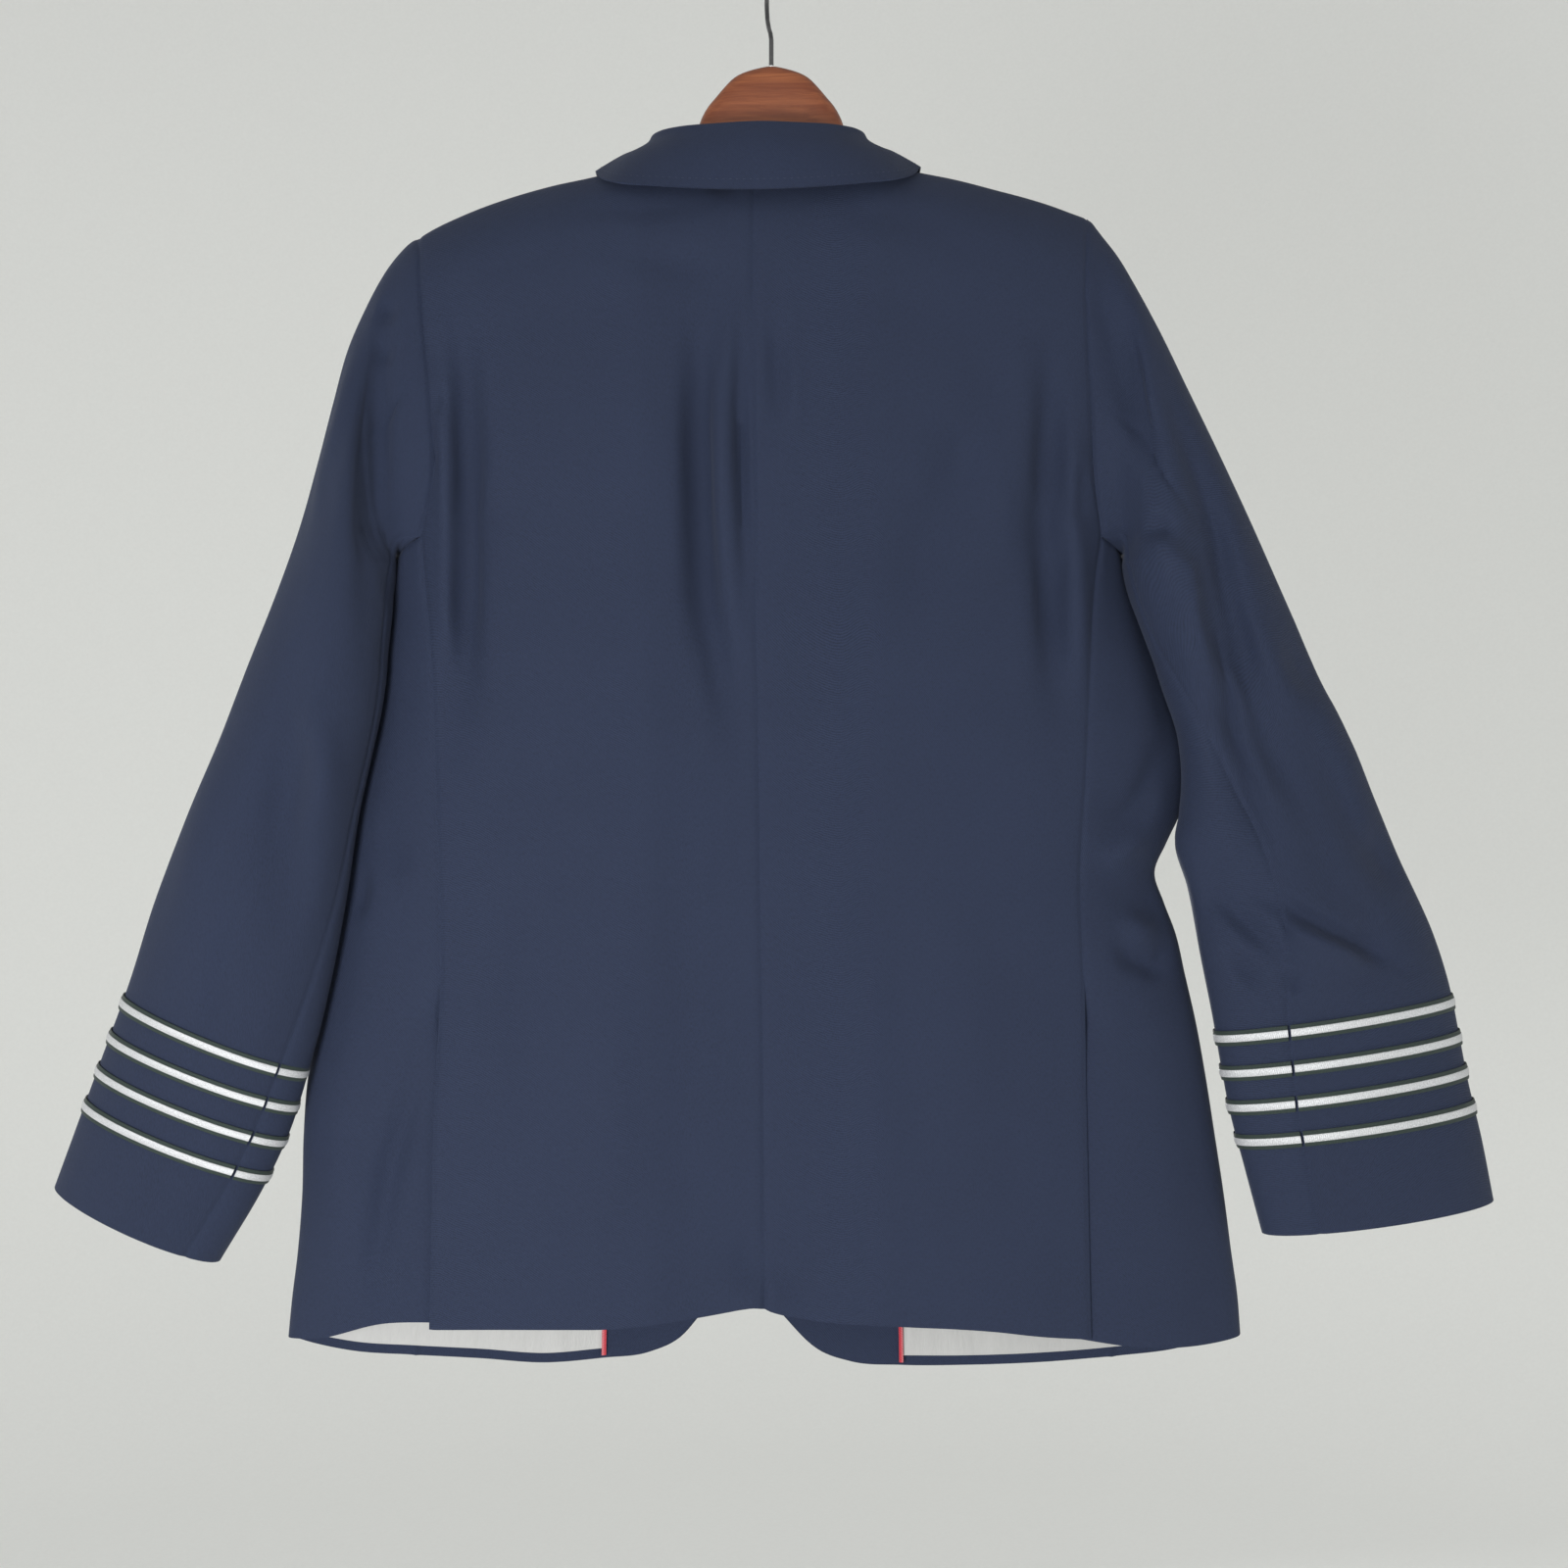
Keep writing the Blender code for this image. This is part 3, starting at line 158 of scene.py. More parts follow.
SLEEVE_CREASES = {
    "left": [
        (7.5, -3.6, ((-259, -240), (-253, -276), (-252, -310), (-252, -350), (-254, -400), (-257, -450))),
        (5.2, -1.8, ((-246, -255), (-247, -276))),
        (6, 1.6, ((-264, -256), (-274, -310), (-284, -340), (-292, -390))),
        (13.5, -2.6, ((-306, -476), (-310, -538), (-311, -600), (-310, -645))),
        (10.5, 2.2, ((-288, -476), (-283, -530), (-282, -570))),
        (13.5, 1.6, ((-348, -500), (-366, -570), (-384, -640))),
        (10.5, -1.2, ((-330, -600), (-346, -660), (-362, -720))),
        (6, -1.4, ((-236, -244), (-246, -238), (-254, -236))),
        (1.9, -1.1, ((-222, -272), (-226, -277), (-240, -299), (-252, -322), (-256, -332))),
    ],
    "right": [
        (7.5, -4.0, ((222, -214), (226, -252), (232, -300), (245, -342), (252, -358))),
        (7.5, -4.2, ((245, -278), (258, -310), (274, -348), (284, -380), (290, -418), (300, -460),
                   (312, -508), (327, -540), (338, -556))),
        (6.8, -3.8, ((274, -380), (277, -412), (287, -460), (293, -508), (306, -550), (319, -580),
                     (323, -612))),
        (7.5, 3.0, ((222, -370), (238, -386), (261, -405), (264, -431), (277, -470), (281, -508))),
        (6, -2.6, ((232, -380), (246, -378), (258, -384))),
        (6, -3.0, ((289, -602), (316, -613), (347, -629), (378, -643), (412, -662))),
        (6, -2.8, ((274, -598), (297, -625), (316, -644), (328, -660))),
        (6, -2.4, ((289, -640), (302, -658), (312, -674))),
        (7.5, 2.4, ((300, -614), (330, -632), (362, -646), (396, -664))),
        (9, 1.8, ((280, -612), (296, -636), (306, -652))),
        (12, -2.0, ((327, -436), (340, -466), (362, -494))),
        (12, -2.2, ((377, -563), (392, -586), (408, -610))),
        (12, 2.0, ((344, -460), (368, -510), (398, -560))),
        (4.5, -2.4, ((321, -657), (328, -664), (337, -672))),
        (1.9, -1.1, ((207, -290), (211, -295), (232, -316), (245, -342), (264, -367), (280, -383))),
    ],
}
# Creases on the hidden front of either sleeve, measured from the wearer's side outwards
SLEEVE_FRONT_CREASES = [
    (9, -2.6, ((256, -300), (274, -350), (286, -410))),
    (10.5, -2.4, ((292, -520), (318, -548), (352, -566))),
    (9, -2.0, ((296, -570), (322, -592), (352, -604))),
    (10.5, 2.0, ((300, -540), (330, -570), (362, -584))),
    (13.5, 1.4, ((330, -640), (356, -700), (376, -760))),
]

# Where a sleeve leans on the body: z, x of its inner side, how far it leans over
LEAN = {
    "left": [(-380, -240, 0), (-398, -247, 4.2), (-430, -250, 3.2), (-460, -252, 1.8), (-520, -262, 1.8),
             (-580, -274, 1.6), (-640, -284, 1.8), (-700, -296, 1.8), (-745, -308, 0)],
    "right": [(-380, 228, 0), (-398, 233, 6.0), (-430, 242, 4.2), (-460, 251, 2.0), (-505, 266, 1.6),
              (-535, 269, 1.8), (-555, 268, 2.4), (-577, 264, 0)],
}
LEAN_WIDTH = 26.0

# Trim across its width: share and rise, the braid's silver core raised between its borders
BRAID_CORE = 0.50
BRAID_PROFILE = [
    (0.0, -0.80), (0.05, -0.66), (0.12, -0.58), (0.19, -0.62), (0.235, -0.56), (0.265, -0.30), (0.33, -0.16),
    (0.42, -0.08), (0.50, -0.06), (0.58, -0.08), (0.67, -0.16), (0.735, -0.30), (0.765, -0.56), (0.81, -0.62),
    (0.88, -0.58), (0.95, -0.66), (1.0, -0.80),
]
PIPING_PROFILE = [
    (0.0, -0.5), (0.08, 0.0), (0.22, 0.35), (0.36, 0.42), (0.46, 0.22), (0.52, 0.20), (0.62, 0.40),
    (0.78, 0.36), (0.92, 0.0), (1.0, -0.5),
]
RIBBON_STEP = 0.0025
FOOT_SHARE = 0.9

# Hanger: x, top z, bottom z, half thickness
HANGER = [
    (0, -71.5, -140, 7.5), (9, -73, -141, 8), (24, -79, -145, 9), (31, -86, -149, 10),
    (36, -92, -152, 10.5), (41, -98, -155, 11), (45, -105, -158, 11), (48, -114, -160, 11),
    (50, -125, -162, 11), (52, -138, -164, 11.5), (60, -140, -169, 12), (72, -141.5, -175, 13),
    (86, -143.2, -181, 14), (101, -145.6, -186, 15), (116, -148.4, -190, 15), (136, -153.8, -194, 15),
    (159, -160, -197, 14.5), (180, -166.4, -198, 13), (193, -171, -197, 12), (201, -175.5, -193, 9),
    (204, -180.5, -188, 4),
]
HANGER_SIDES = 40
HANGER_STEPS = 4

BUTTON_PROFILE = [
    (0.0, 5.55), (1.6, 5.45), (3.3, 5.1), (5.0, 4.5), (6.4, 3.7), (7.5, 2.8), (8.0, 2.2), (8.3, 2.15),
    (8.6, 2.4), (9.2, 2.3), (9.7, 1.8), (9.9, 1.1), (9.8, 0.6), (9.2, 0.1), (6.0, 0.05), (0.0, 0.05),
]


class JacketClothSettings(bpy.types.PropertyGroup):
    """Sizes and colours of the wool and its lining."""

    wool_colour: FloatVectorProperty(
        name="Wool colour", description="Base colour of the navy worsted wool",
        subtype="COLOR", size=3, min=0.0, max=1.0, default=(0.0125, 0.0188, 0.0420))
    lining_colour: FloatVectorProperty(
        name="Lining colour", description="Base colour of the pale grey lining",
        subtype="COLOR", size=3, min=0.0, max=1.0, default=(0.42, 0.42, 0.415))
    thickness: FloatProperty(
        name="Cloth thickness", description="Thickness of one cloth shell",
        unit="LENGTH", min=0.0004, max=0.003, default=0.0012)
    step: FloatProperty(
        name="Mesh step", description="Distance between the points of a cloth shell",
        unit="LENGTH", min=0.001, max=0.02, default=0.0028)
    seam_depth: FloatProperty(
        name="Seam depth", description="How far a sewn edge is drawn in",
        unit="LENGTH", min=0.0, max=0.003, default=0.0010)
    seam_reach: FloatProperty(
        name="Seam reach", description="How far a sewn edge reaches over the gap to its neighbour",
        unit="LENGTH", min=0.0, max=0.002, default=0.0006)
    hem_depth: FloatProperty(
        name="Hem turn-up", description="Height of the wool that is turned up inside each hem",
        unit="LENGTH", min=0.0, max=0.1, default=0.038)
    crease_scale: FloatProperty(
        name="Crease scale", description="Strength of the creases placed by hand",
        min=0.0, max=4.0, default=2.1)
    twill_pitch: FloatProperty(
        name="Twill pitch", description="Distance between the diagonal ribs of the twill",
        unit="LENGTH", min=0.0002, max=0.005, default=0.0015)


class JacketTrimSettings(bpy.types.PropertyGroup):
    """Sizes and colours of the braid, piping, buttons and stitches."""

    silver_colour: FloatVectorProperty(
        name="Silver colour", description="Base colour of the woven metallic braid",
        subtype="COLOR", size=3, min=0.0, max=1.0, default=(0.60, 0.61, 0.63))
    border_colour: FloatVectorProperty(
        name="Border colour", description="Base colour of the braid's dark borders",
        subtype="COLOR", size=3, min=0.0, max=1.0, default=(0.008, 0.020, 0.016))
    piping_colour: FloatVectorProperty(
        name="Piping colour", description="Base colour of the red satin piping",
        subtype="COLOR", size=3, min=0.0, max=1.0, default=(0.46, 0.016, 0.035))
    stitch_length: FloatProperty(
        name="Stitch length", description="Length of one pick stitch that shows",
        unit="LENGTH", min=0.0005, max=0.01, default=0.0016)
    stitch_pitch: FloatProperty(
        name="Stitch pitch", description="Distance from one pick stitch to the next",
        unit="LENGTH", min=0.001, max=0.02, default=0.0042)
    stitch_thickness: FloatProperty(
        name="Stitch thickness", description="Thickness of the stitching thread",
        unit="LENGTH", min=0.0001, max=0.002, default=0.00042)
    stitch_inset: FloatProperty(
        name="Stitch inset", description="Distance of the pick stitches from the edge",
        unit="LENGTH", min=0.001, max=0.02, default=0.0055)


class JacketHangerSettings(bpy.types.PropertyGroup):
    """Colours of the hanger."""

    wood_colour: FloatVectorProperty(
        name="Wood colour", description="Lighter colour of the varnished wood",
        subtype="COLOR", size=3, min=0.0, max=1.0, default=(0.42, 0.140, 0.050))
    grain_colour: FloatVectorProperty(
        name="Grain colour", description="Darker colour of the wood's grain",
        subtype="COLOR", size=3, min=0.0, max=1.0, default=(0.17, 0.042, 0.015))
    wire_colour: FloatVectorProperty(
        name="Wire colour", description="Colour of the dark plated wire",
        subtype="COLOR", size=3, min=0.0, max=1.0, default=(0.12, 0.12, 0.125))


class JacketStageSettings(bpy.types.PropertyGroup):
    """Light, floor and backdrop."""

    backdrop_colour: FloatVectorProperty(
        name="Backdrop colour", description="Base colour of the plain pale floor and backdrop",
        subtype="COLOR", size=3, min=0.0, max=1.0, default=(0.66, 0.665, 0.65))
    backdrop_glow: FloatProperty(
        name="Backdrop glow", description="Soft light that the pale backdrop gives from all round",
        min=0.0, max=2.0, default=0.30)
    backdrop_radius: FloatProperty(
        name="Backdrop radius", description="Radius of the round backdrop",
        unit="LENGTH", min=2.0, max=10.0, default=3.2)
    key_power: FloatProperty(
        name="Key light", description="Power of the large soft light beside the camera",
        unit="POWER", min=0.0, default=19.0)
    front_power: FloatProperty(
        name="Front power", description="Power of the soft light on the jacket's front",
        unit="POWER", min=0.0, default=34.0)
    fill_power: FloatProperty(
        name="Fill light", description="Power of each of the two weaker lights at the front",
        unit="POWER", min=0.0, default=6.0)
    round_light: FloatProperty(
        name="Light all round", description="Strength of the plain light from every side",
        min=0.0, default=0.35)
    wall_segments: IntProperty(
        name="Backdrop segments", description="Sides of the round backdrop",
        min=12, default=96)


class Value:
    """A socket's value that takes part in Python expressions."""

    def __init__(self, shade, socket):
        self.shade = shade
        self.socket = socket

    def __add__(self, other):
        return self.shade.maths("ADD", self, other)

    def __sub__(self, other):
        return self.shade.maths("SUBTRACT", self, other)

    def __mul__(self, other):
        return self.shade.maths("MULTIPLY", self, other)

    def __truediv__(self, other):
        return self.shade.maths("DIVIDE", self, other)

    def __rsub__(self, other):
        return self.shade.maths("SUBTRACT", other, self)

    def __rtruediv__(self, other):
        return self.shade.maths("DIVIDE", other, self)

    __radd__ = __add__
    __rmul__ = __mul__


class Shade:
    """A material whose nodes are added by expressions."""

    def __init__(self, name):
        self.material = bpy.data.materials.new(name)
        self.material.use_nodes = True
        self.tree = self.material.node_tree
        self.tree.nodes.clear()

    def node(self, kind, settings=None, sockets=None):
        """Add a node, set its settings and then its sockets' values or links."""
        made = self.tree.nodes.new(kind)
        for name, value in (settings or {}).items():
            if name == "stops":
                self.set_stops(made.color_ramp, value)
            else:
                setattr(made, name, value)
        for name, value in (sockets or {}).items():
            if isinstance(value, Value):
                self.tree.links.new(value.socket, made.inputs[name])
            else:
                made.inputs[name].default_value = value
        return made

    def set_stops(self, ramp, stops):
        while len(ramp.elements) < len(stops):
            ramp.elements.new(1.0)
        for element, (place, level) in zip(ramp.elements, stops):
            element.position = place
            element.color = (level, level, level, 1.0)

    def value(self, kind, output, settings=None, sockets=None):
        """The named output of a new node."""
        return Value(self, self.node(kind, settings, sockets).outputs[output])

    def maths(self, operation, first, second=0.0, clamp=False):
        sockets = {0: first, 1: second}
        return self.value("ShaderNodeMath", 0, {"operation": operation, "use_clamp": clamp}, sockets)

    def vector(self, operation, first, second):
        return self.value("ShaderNodeVectorMath", 0, {"operation": operation}, {0: first, 1: second})

    def blend(self, share, first, second):
        """Colour between two colours, by a share from 0 to 1."""
        return self.value("ShaderNodeMix", 2, {"data_type": "RGBA"}, {0: share, 6: first, 7: second})

    def steps(self, share, stops):
        """Share passed through a ramp of places and levels."""
        return self.value("ShaderNodeValToRGB", "Color", {"stops": stops}, {"Fac": share})

    def noise(self, place, scale, detail=2.0, roughness=0.5):
        sockets = {"Vector": place, "Scale": scale, "Detail": detail, "Roughness": roughness}
        return self.value("ShaderNodeTexNoise", 0, {}, sockets)

    def stretched(self, place, scale):
        """Place with each axis scaled by its own number."""
        return self.vector("MULTIPLY", place, scale)

    def cloth_place(self):
        return self.value("ShaderNodeUVMap", "UV", {"uv_map": "cloth"})

    def object_place(self):
        return self.value("ShaderNodeTexCoord", "Object")

    def parts(self, place):
        """The three numbers of a place."""
        split = self.node("ShaderNodeSeparateXYZ", {}, {0: place})
        return [Value(self, split.outputs[k]) for k in range(3)]

    def finish(self, colour, roughness, height=None, height_scale=0.0, fixed=None):
        """Join everything to one shader. Fixed values are set on its own sockets."""
        sockets = {"Base Color": colour, "Roughness": roughness}
        if height is not None:
            sockets["Normal"] = self.value(
                "ShaderNodeBump", "Normal", {}, {"Strength": 1.0, "Distance": height_scale, "Height": height})
        sockets.update(fixed or {})
        shader = self.value("ShaderNodeBsdfPrincipled", "BSDF", {}, sockets)
        self.node("ShaderNodeOutputMaterial", {}, {"Surface": shader})
        return self.material


def four(colour):
    """A colour with full alpha."""
    return (colour[0], colour[1], colour[2], 1.0)


def tinted(colour, factor):
    """A colour made lighter or darker."""
    return tuple(min(1.0, channel * factor) for channel in colour) + (1.0,)


def twill_wool(settings):
    """Fine navy worsted twill: diagonal ribs, slightly uneven yarns and a soft nap."""
    shade = Shade("navy_worsted_twill")
    place = shade.cloth_place()
    across, down, _ = shade.parts(place)
    wander = shade.noise(place, 260.0, 3.0)
    turn = (across + down + wander * 0.0012) * (2 * pi / settings.twill_pitch)
    rib = shade.maths("SINE", turn) * 0.5 + 0.5
    yarn = shade.noise(shade.stretched(place, (1500.0, 420.0, 1.0)), 1.0, 2.0)
    weft = shade.noise(shade.stretched(place, (380.0, 1300.0, 1.0)), 1.0, 2.0)
    nap = shade.noise(place, 900.0, 4.0, 0.6)
    broad = shade.noise(place, 9.0, 3.0)
    tone = yarn * 0.45 + weft * 0.35 + rib * 0.22 + nap * 0.30
    share = shade.maths("ADD", (tone - 0.52) * 2.6, broad * 0.3 + 0.28, clamp=True)
    dark = tinted(settings.wool_colour, 0.60)
    light = tinted(settings.wool_colour, 1.42)
    colour = shade.blend(share, dark, light)
    rough = 0.80 + nap * 0.12
    height = rib * 0.55 + yarn * 0.5 + weft * 0.4 + nap * 0.35
    fixed = {
        "Sheen Weight": 0.06, "Sheen Roughness": 0.45, "Sheen Tint": (0.62, 0.70, 0.95, 1.0),
        "Specular IOR Level": 0.32,
    }
    return shade.finish(colour, rough, height, 0.00022, fixed)


def smooth_lining(settings):
    """Pale grey lining with a soft sheen, a few drag lines and a fine weave; its colour has painted shade in
    the drag lines' troughs and painted light on their crests.
    """
    shade = Shade("pale_grey_lining")
    place = shade.cloth_place()
    threads = shade.noise(shade.stretched(place, (1800.0, 240.0, 1.0)), 1.0, 2.0)
    drag_folds_and_shade = shade.noise(shade.stretched(place, (70.0, 16.0, 1.0)), 1.0, 3.0, 0.6)
    # Painted shade and light: the colour follows the drag lines' height, darker in their troughs and lighter
    # on their crests
    share = shade.maths("ADD", threads * 0.35, drag_folds_and_shade * 0.65, clamp=True)
    colour = shade.blend(share, tinted(settings.lining_colour, 0.84), tinted(settings.lining_colour, 1.12))
    fixed = {"Sheen Weight": 0.15, "Sheen Roughness": 0.35, "Specular IOR Level": 0.5}
    return shade.finish(colour, 0.36 + drag_folds_and_shade * 0.22, drag_folds_and_shade * 0.7 + threads * 0.1, 0.0016, fixed)


def woven_braid(settings):
    """Braid whose core is a weave of metal threads, speckled with painted glints, between dark ribbed borders.
    """
    shade = Shade("woven_silver_braid")
    place = shade.cloth_place()
    along, across, _ = shade.parts(place)
    middle = shade.maths("ABSOLUTE", across - 0.5)
    core = shade.steps(middle, [(0.0, 1.0), (BRAID_CORE / 2 - 0.02, 1.0), (BRAID_CORE / 2, 0.0), (1.0, 0.0)])
    flake = shade.noise(shade.stretched(place, (1300.0, 9.0, 1.0)), 1.0, 3.0, 0.7)
    weave = shade.maths("SINE", (along + across * 0.004) * (2 * pi / 0.0012)) * 0.5 + 0.5
    # Painted glints: the silver is lighter in fine specks and streaks where light would catch the metal
    # threads, and darker between them
    painted_glint = shade.maths("ADD", (flake - 0.42) * 2.4, weave * 0.25, clamp=True)
    silver = shade.blend(painted_glint, tinted(settings.silver_colour, 0.66), tinted(settings.silver_colour, 1.30))
    ribs = shade.maths("SINE", along * (2 * pi / 0.0009)) * 0.5 + 0.5
    border = shade.blend(ribs, tinted(settings.border_colour, 0.6), tinted(settings.border_colour, 1.5))
    colour = shade.blend(core, border, silver)
    rough = 0.72 - core * 0.30
    height = core * (weave * 0.5 + flake * 0.6) + (1 - core) * ribs * 0.4
    sockets = {"Metallic": core * 0.25, "Sheen Weight": 0.1}
    return shade.finish(colour, rough, height, 0.00028, sockets)


def satin_piping(settings):
    """Red satin cord with a paler stitched side."""
    shade = Shade("red_satin_piping")
    place = shade.cloth_place()
    along, across, _ = shade.parts(place)
    side = shade.steps(across, [(0.0, 1.0), (0.40, 1.0), (0.56, 0.0), (1.0, 0.0)])
    twist = shade.maths("SINE", (along + across * 0.002) * (2 * pi / 0.0016)) * 0.5 + 0.5
    pale = (0.62, 0.22, 0.24, 1.0)
    colour = shade.blend(side * (0.35 + twist * 0.3), four(settings.piping_colour), pale)
    return shade.finish(colour, 0.42 + twist * 0.1, twist, 0.0003, {"Sheen Weight": 0.2})


def varnished_wood(settings):
    """Reddish brown wood whose fine grain runs along the arms, under a thin varnish."""
    shade = Shade("varnished_brown_wood")
    place = shade.object_place()
    warp = shade.noise(shade.stretched(place, (9.0, 26.0, 26.0)), 1.0, 3.0)
    offset = shade.vector("MULTIPLY", warp, (0.0, 0.010, 0.014))
    bent = shade.vector("ADD", place, offset)
    grain = shade.noise(shade.stretched(bent, (16.0, 420.0, 520.0)), 1.0, 5.0, 0.65)
    bands = shade.noise(shade.stretched(bent, (7.0, 90.0, 120.0)), 1.0, 3.0, 0.5)
    pores = shade.noise(shade.stretched(place, (90.0, 1500.0, 1500.0)), 1.0, 2.0)
    share = shade.maths("ADD", (grain - 0.32) * 1.3, (bands - 0.5) * 0.9, clamp=True)
    colour = shade.blend(share, four(settings.grain_colour), four(settings.wood_colour))
    fleck = shade.maths("MULTIPLY", (pores - 0.60) * 3.0, 0.6, clamp=True)
    colour = shade.blend(fleck, colour, tinted(settings.grain_colour, 0.5))
    fixed = {"Coat Weight": 0.35, "Coat Roughness": 0.22, "Specular IOR Level": 0.45}
    return shade.finish(colour, 0.42 + grain * 0.16, grain * 0.5 + pores * 0.3, 0.00025, fixed)


def plated_wire(settings):
    """Dark plated steel wire with fine drawing lines and small worn spots."""
    shade = Shade("dark_plated_wire")
    place = shade.object_place()
    drawn = shade.noise(shade.stretched(place, (2600.0, 2600.0, 90.0)), 1.0, 3.0)
    worn = shade.maths("MULTIPLY", shade.noise(place, 190.0, 4.0) - 0.56, 4.0, clamp=True)
    colour = shade.blend(worn, four(settings.wire_colour), tinted(settings.wire_colour, 2.6))
    return shade.finish(colour, 0.26 + drawn * 0.2, drawn, 0.0001, {"Metallic": 0.95})


def brushed_silver(settings):
    """Plain silver metal of the buttons, faintly scratched and unevenly dulled."""
    shade = Shade("brushed_silver_metal")
    place = shade.object_place()
    scratch = shade.noise(shade.stretched(place, (2400.0, 600.0, 600.0)), 1.0, 3.0)
    dull = shade.noise(place, 240.0, 3.0)
    colour = shade.blend(dull, tinted(settings.silver_colour, 0.62), tinted(settings.silver_colour, 1.0))
    return shade.finish(colour, 0.22 + scratch * 0.25, scratch, 0.00008, {"Metallic": 1.0})


def sewing_thread(settings):
    """Twisted navy thread a little lighter than the wool."""
    shade = Shade("navy_sewing_thread")
    place = shade.object_place()
    twist = shade.noise(place, 3200.0, 2.0)
    colour = shade.blend(twist, tinted(settings.wool_colour, 1.0), tinted(settings.wool_colour, 2.1))
    return shade.finish(colour, 0.6 + twist * 0.2, twist, 0.0001, {"Sheen Weight": 0.1})


def plain_backdrop(settings):
    """Matt pale backdrop with a barely uneven surface."""
    shade = Shade("plain_pale_backdrop")
    place = shade.object_place()
    felt = shade.noise(place, 160.0, 4.0, 0.6)
    colour = shade.blend(felt, tinted(settings.backdrop_colour, 0.95), tinted(settings.backdrop_colour, 1.05))
    fixed = {"Emission Color": four(settings.backdrop_colour), "Emission Strength": settings.backdrop_glow}
    return shade.finish(colour, 0.92 + felt * 0.05, fixed=fixed)


def outer_skin(node, wall):
    """The larger skin of a solid's wall, as a mesh of its own."""
    mesh = bmesh.new()
    mesh.from_mesh(frame["nodes"][node].data)
    bmesh.ops.remove_doubles(mesh, verts=mesh.verts, dist=0.00002)
    through = [edge for edge in mesh.edges if abs(edge.calc_length() - wall * MM) < 0.00003]
    rim_faces = {face for edge in through for face in edge.link_faces}
    bmesh.ops.delete(mesh, geom=list(rim_faces), context="FACES")
    skins, left = [], set(mesh.faces)
    while left:
        waiting = [left.pop()]
        skin = list(waiting)
        while waiting:
            near = {other for edge in waiting.pop().edges for other in edge.link_faces} & left
            left -= near
            skin += near
            waiting += near
        skins.append(skin)
    skins.sort(key=lambda skin: sum(face.calc_area() for face in skin))
    bmesh.ops.delete(mesh, geom=[face for skin in skins[:-1] for face in skin], context="FACES")
    mesh.verts.index_update()
    mesh.normal_update()
    return mesh


def skin_grid(node, wall):
    """Rows of points of a solid's outer skin, from the top down, facing outwards."""
    mesh = outer_skin(node, wall)
    near = {vert: {edge.other_vert(vert) for edge in vert.link_edges} for vert in mesh.verts}
    rim = [edge for edge in mesh.edges if len(edge.link_faces) == 1]
    rim_near = {vert: [] for edge in rim for vert in edge.verts}
    for edge in rim:
        for vert in edge.verts:
            rim_near[vert].append(edge.other_vert(vert))
    start = max((vert for vert in mesh.verts if len(near[vert]) == 2), key=lambda vert: vert.co.z)

    def border(first):
        line = [start, first]
        while len(near[line[-1]]) > 3:
            line.append(next(vert for vert in rim_near[line[-1]] if vert is not line[-2]))
        return line

    top, side = (border(first) for first in sorted(rim_near[start], key=lambda vert: vert.index))
    rows = [top]
    for begin in side[1:]:
        line = [begin]
        for above, last in zip(rows[-1][1:], rows[-1]):
            shared = (near[above] & near[line[-1]]) - {last}
            if len(shared) != 1:
                raise RuntimeError("the skin of %s isn't a plain grid" % node)
            line.append(shared.pop())
        rows.append(line)
    grid = np.array([[tuple(vert.co) for vert in line] for line in rows])
    face = next(iter(mesh.faces))
    middle, outward = np.array(face.calc_center_median()), np.array(face.normal)
    mesh.free()
    if abs(grid[:, -1, 2] - grid[:, 0, 2]).mean() > abs(grid[-1, :, 2] - grid[0, :, 2]).mean():
        grid = grid.transpose(1, 0, 2)
    if grid[0, :, 2].mean() < grid[-1, :, 2].mean():
        grid = grid[::-1]
    nearest = np.unravel_index(np.argmin(((grid - middle) ** 2).sum(2)), grid.shape[:2])
    if grid_normals(grid)[nearest] @ outward < 0:
        grid = grid[:, ::-1]
    return grid


def grid_normals(grid):
    """Unit normals of a grid, from its steps across and down."""
    down = np.gradient(grid, axis=0)
    across = np.gradient(grid, axis=1)
    normals = np.cross(down, across)
    return normals / np.maximum(np.linalg.norm(normals, axis=2, keepdims=True), 1e-12)


def smooth_line(points, knots, samples):
    """Points sampled along the first axis by a smooth curve through the given ones."""
    steps = np.diff(knots)[:, None, None]
    slopes = np.diff(points, axis=0) / steps
    tangents = np.empty_like(points)
    tangents[0], tangents[-1] = slopes[0], slopes[-1]
    tangents[1:-1] = (slopes[:-1] * steps[1:] + slopes[1:] * steps[:-1]) / (steps[:-1] + steps[1:])
    at = np.clip(np.searchsorted(knots, samples, side="right") - 1, 0, len(knots) - 2)
    width = steps[at]
    t = ((samples - knots[at]) / width[:, 0, 0])[:, None, None]
    return ((2 * t ** 3 - 3 * t ** 2 + 1) * points[at] + (t ** 3 - 2 * t ** 2 + t) * width * tangents[at]
            + (3 * t ** 2 - 2 * t ** 3) * points[at + 1] + (t ** 3 - t ** 2) * width * tangents[at + 1])


def run_lengths(grid):
    """Mean distance of each row from the first one."""
    steps = np.linalg.norm(np.diff(grid, axis=0), axis=2).mean(axis=1)
    return np.concatenate([[0.0], np.cumsum(steps)])


EDGE_PLACES = (0.0, 0.0005, 0.0012, 0.0022, 0.0036)


def sample_places(length, step):
    """Even places along a length, with closer ones at both ends where edges turn."""
    inside = max(2, int(round((length - 2 * EDGE_PLACES[-1]) / step)))
    middle = np.linspace(EDGE_PLACES[-1], length - EDGE_PLACES[-1], inside + 1)
    start = np.array(EDGE_PLACES[:-1])
    return np.concatenate([start, middle, length - start[::-1]])


def fine_grid(grid, step):
    """A grid sampled smoothly at an even step both ways, with closer rows at its edges."""
    for _ in range(2):
        knots = run_lengths(grid)
        grid = smooth_line(grid, knots, sample_places(knots[-1], step)).transpose(1, 0, 2)
    return grid


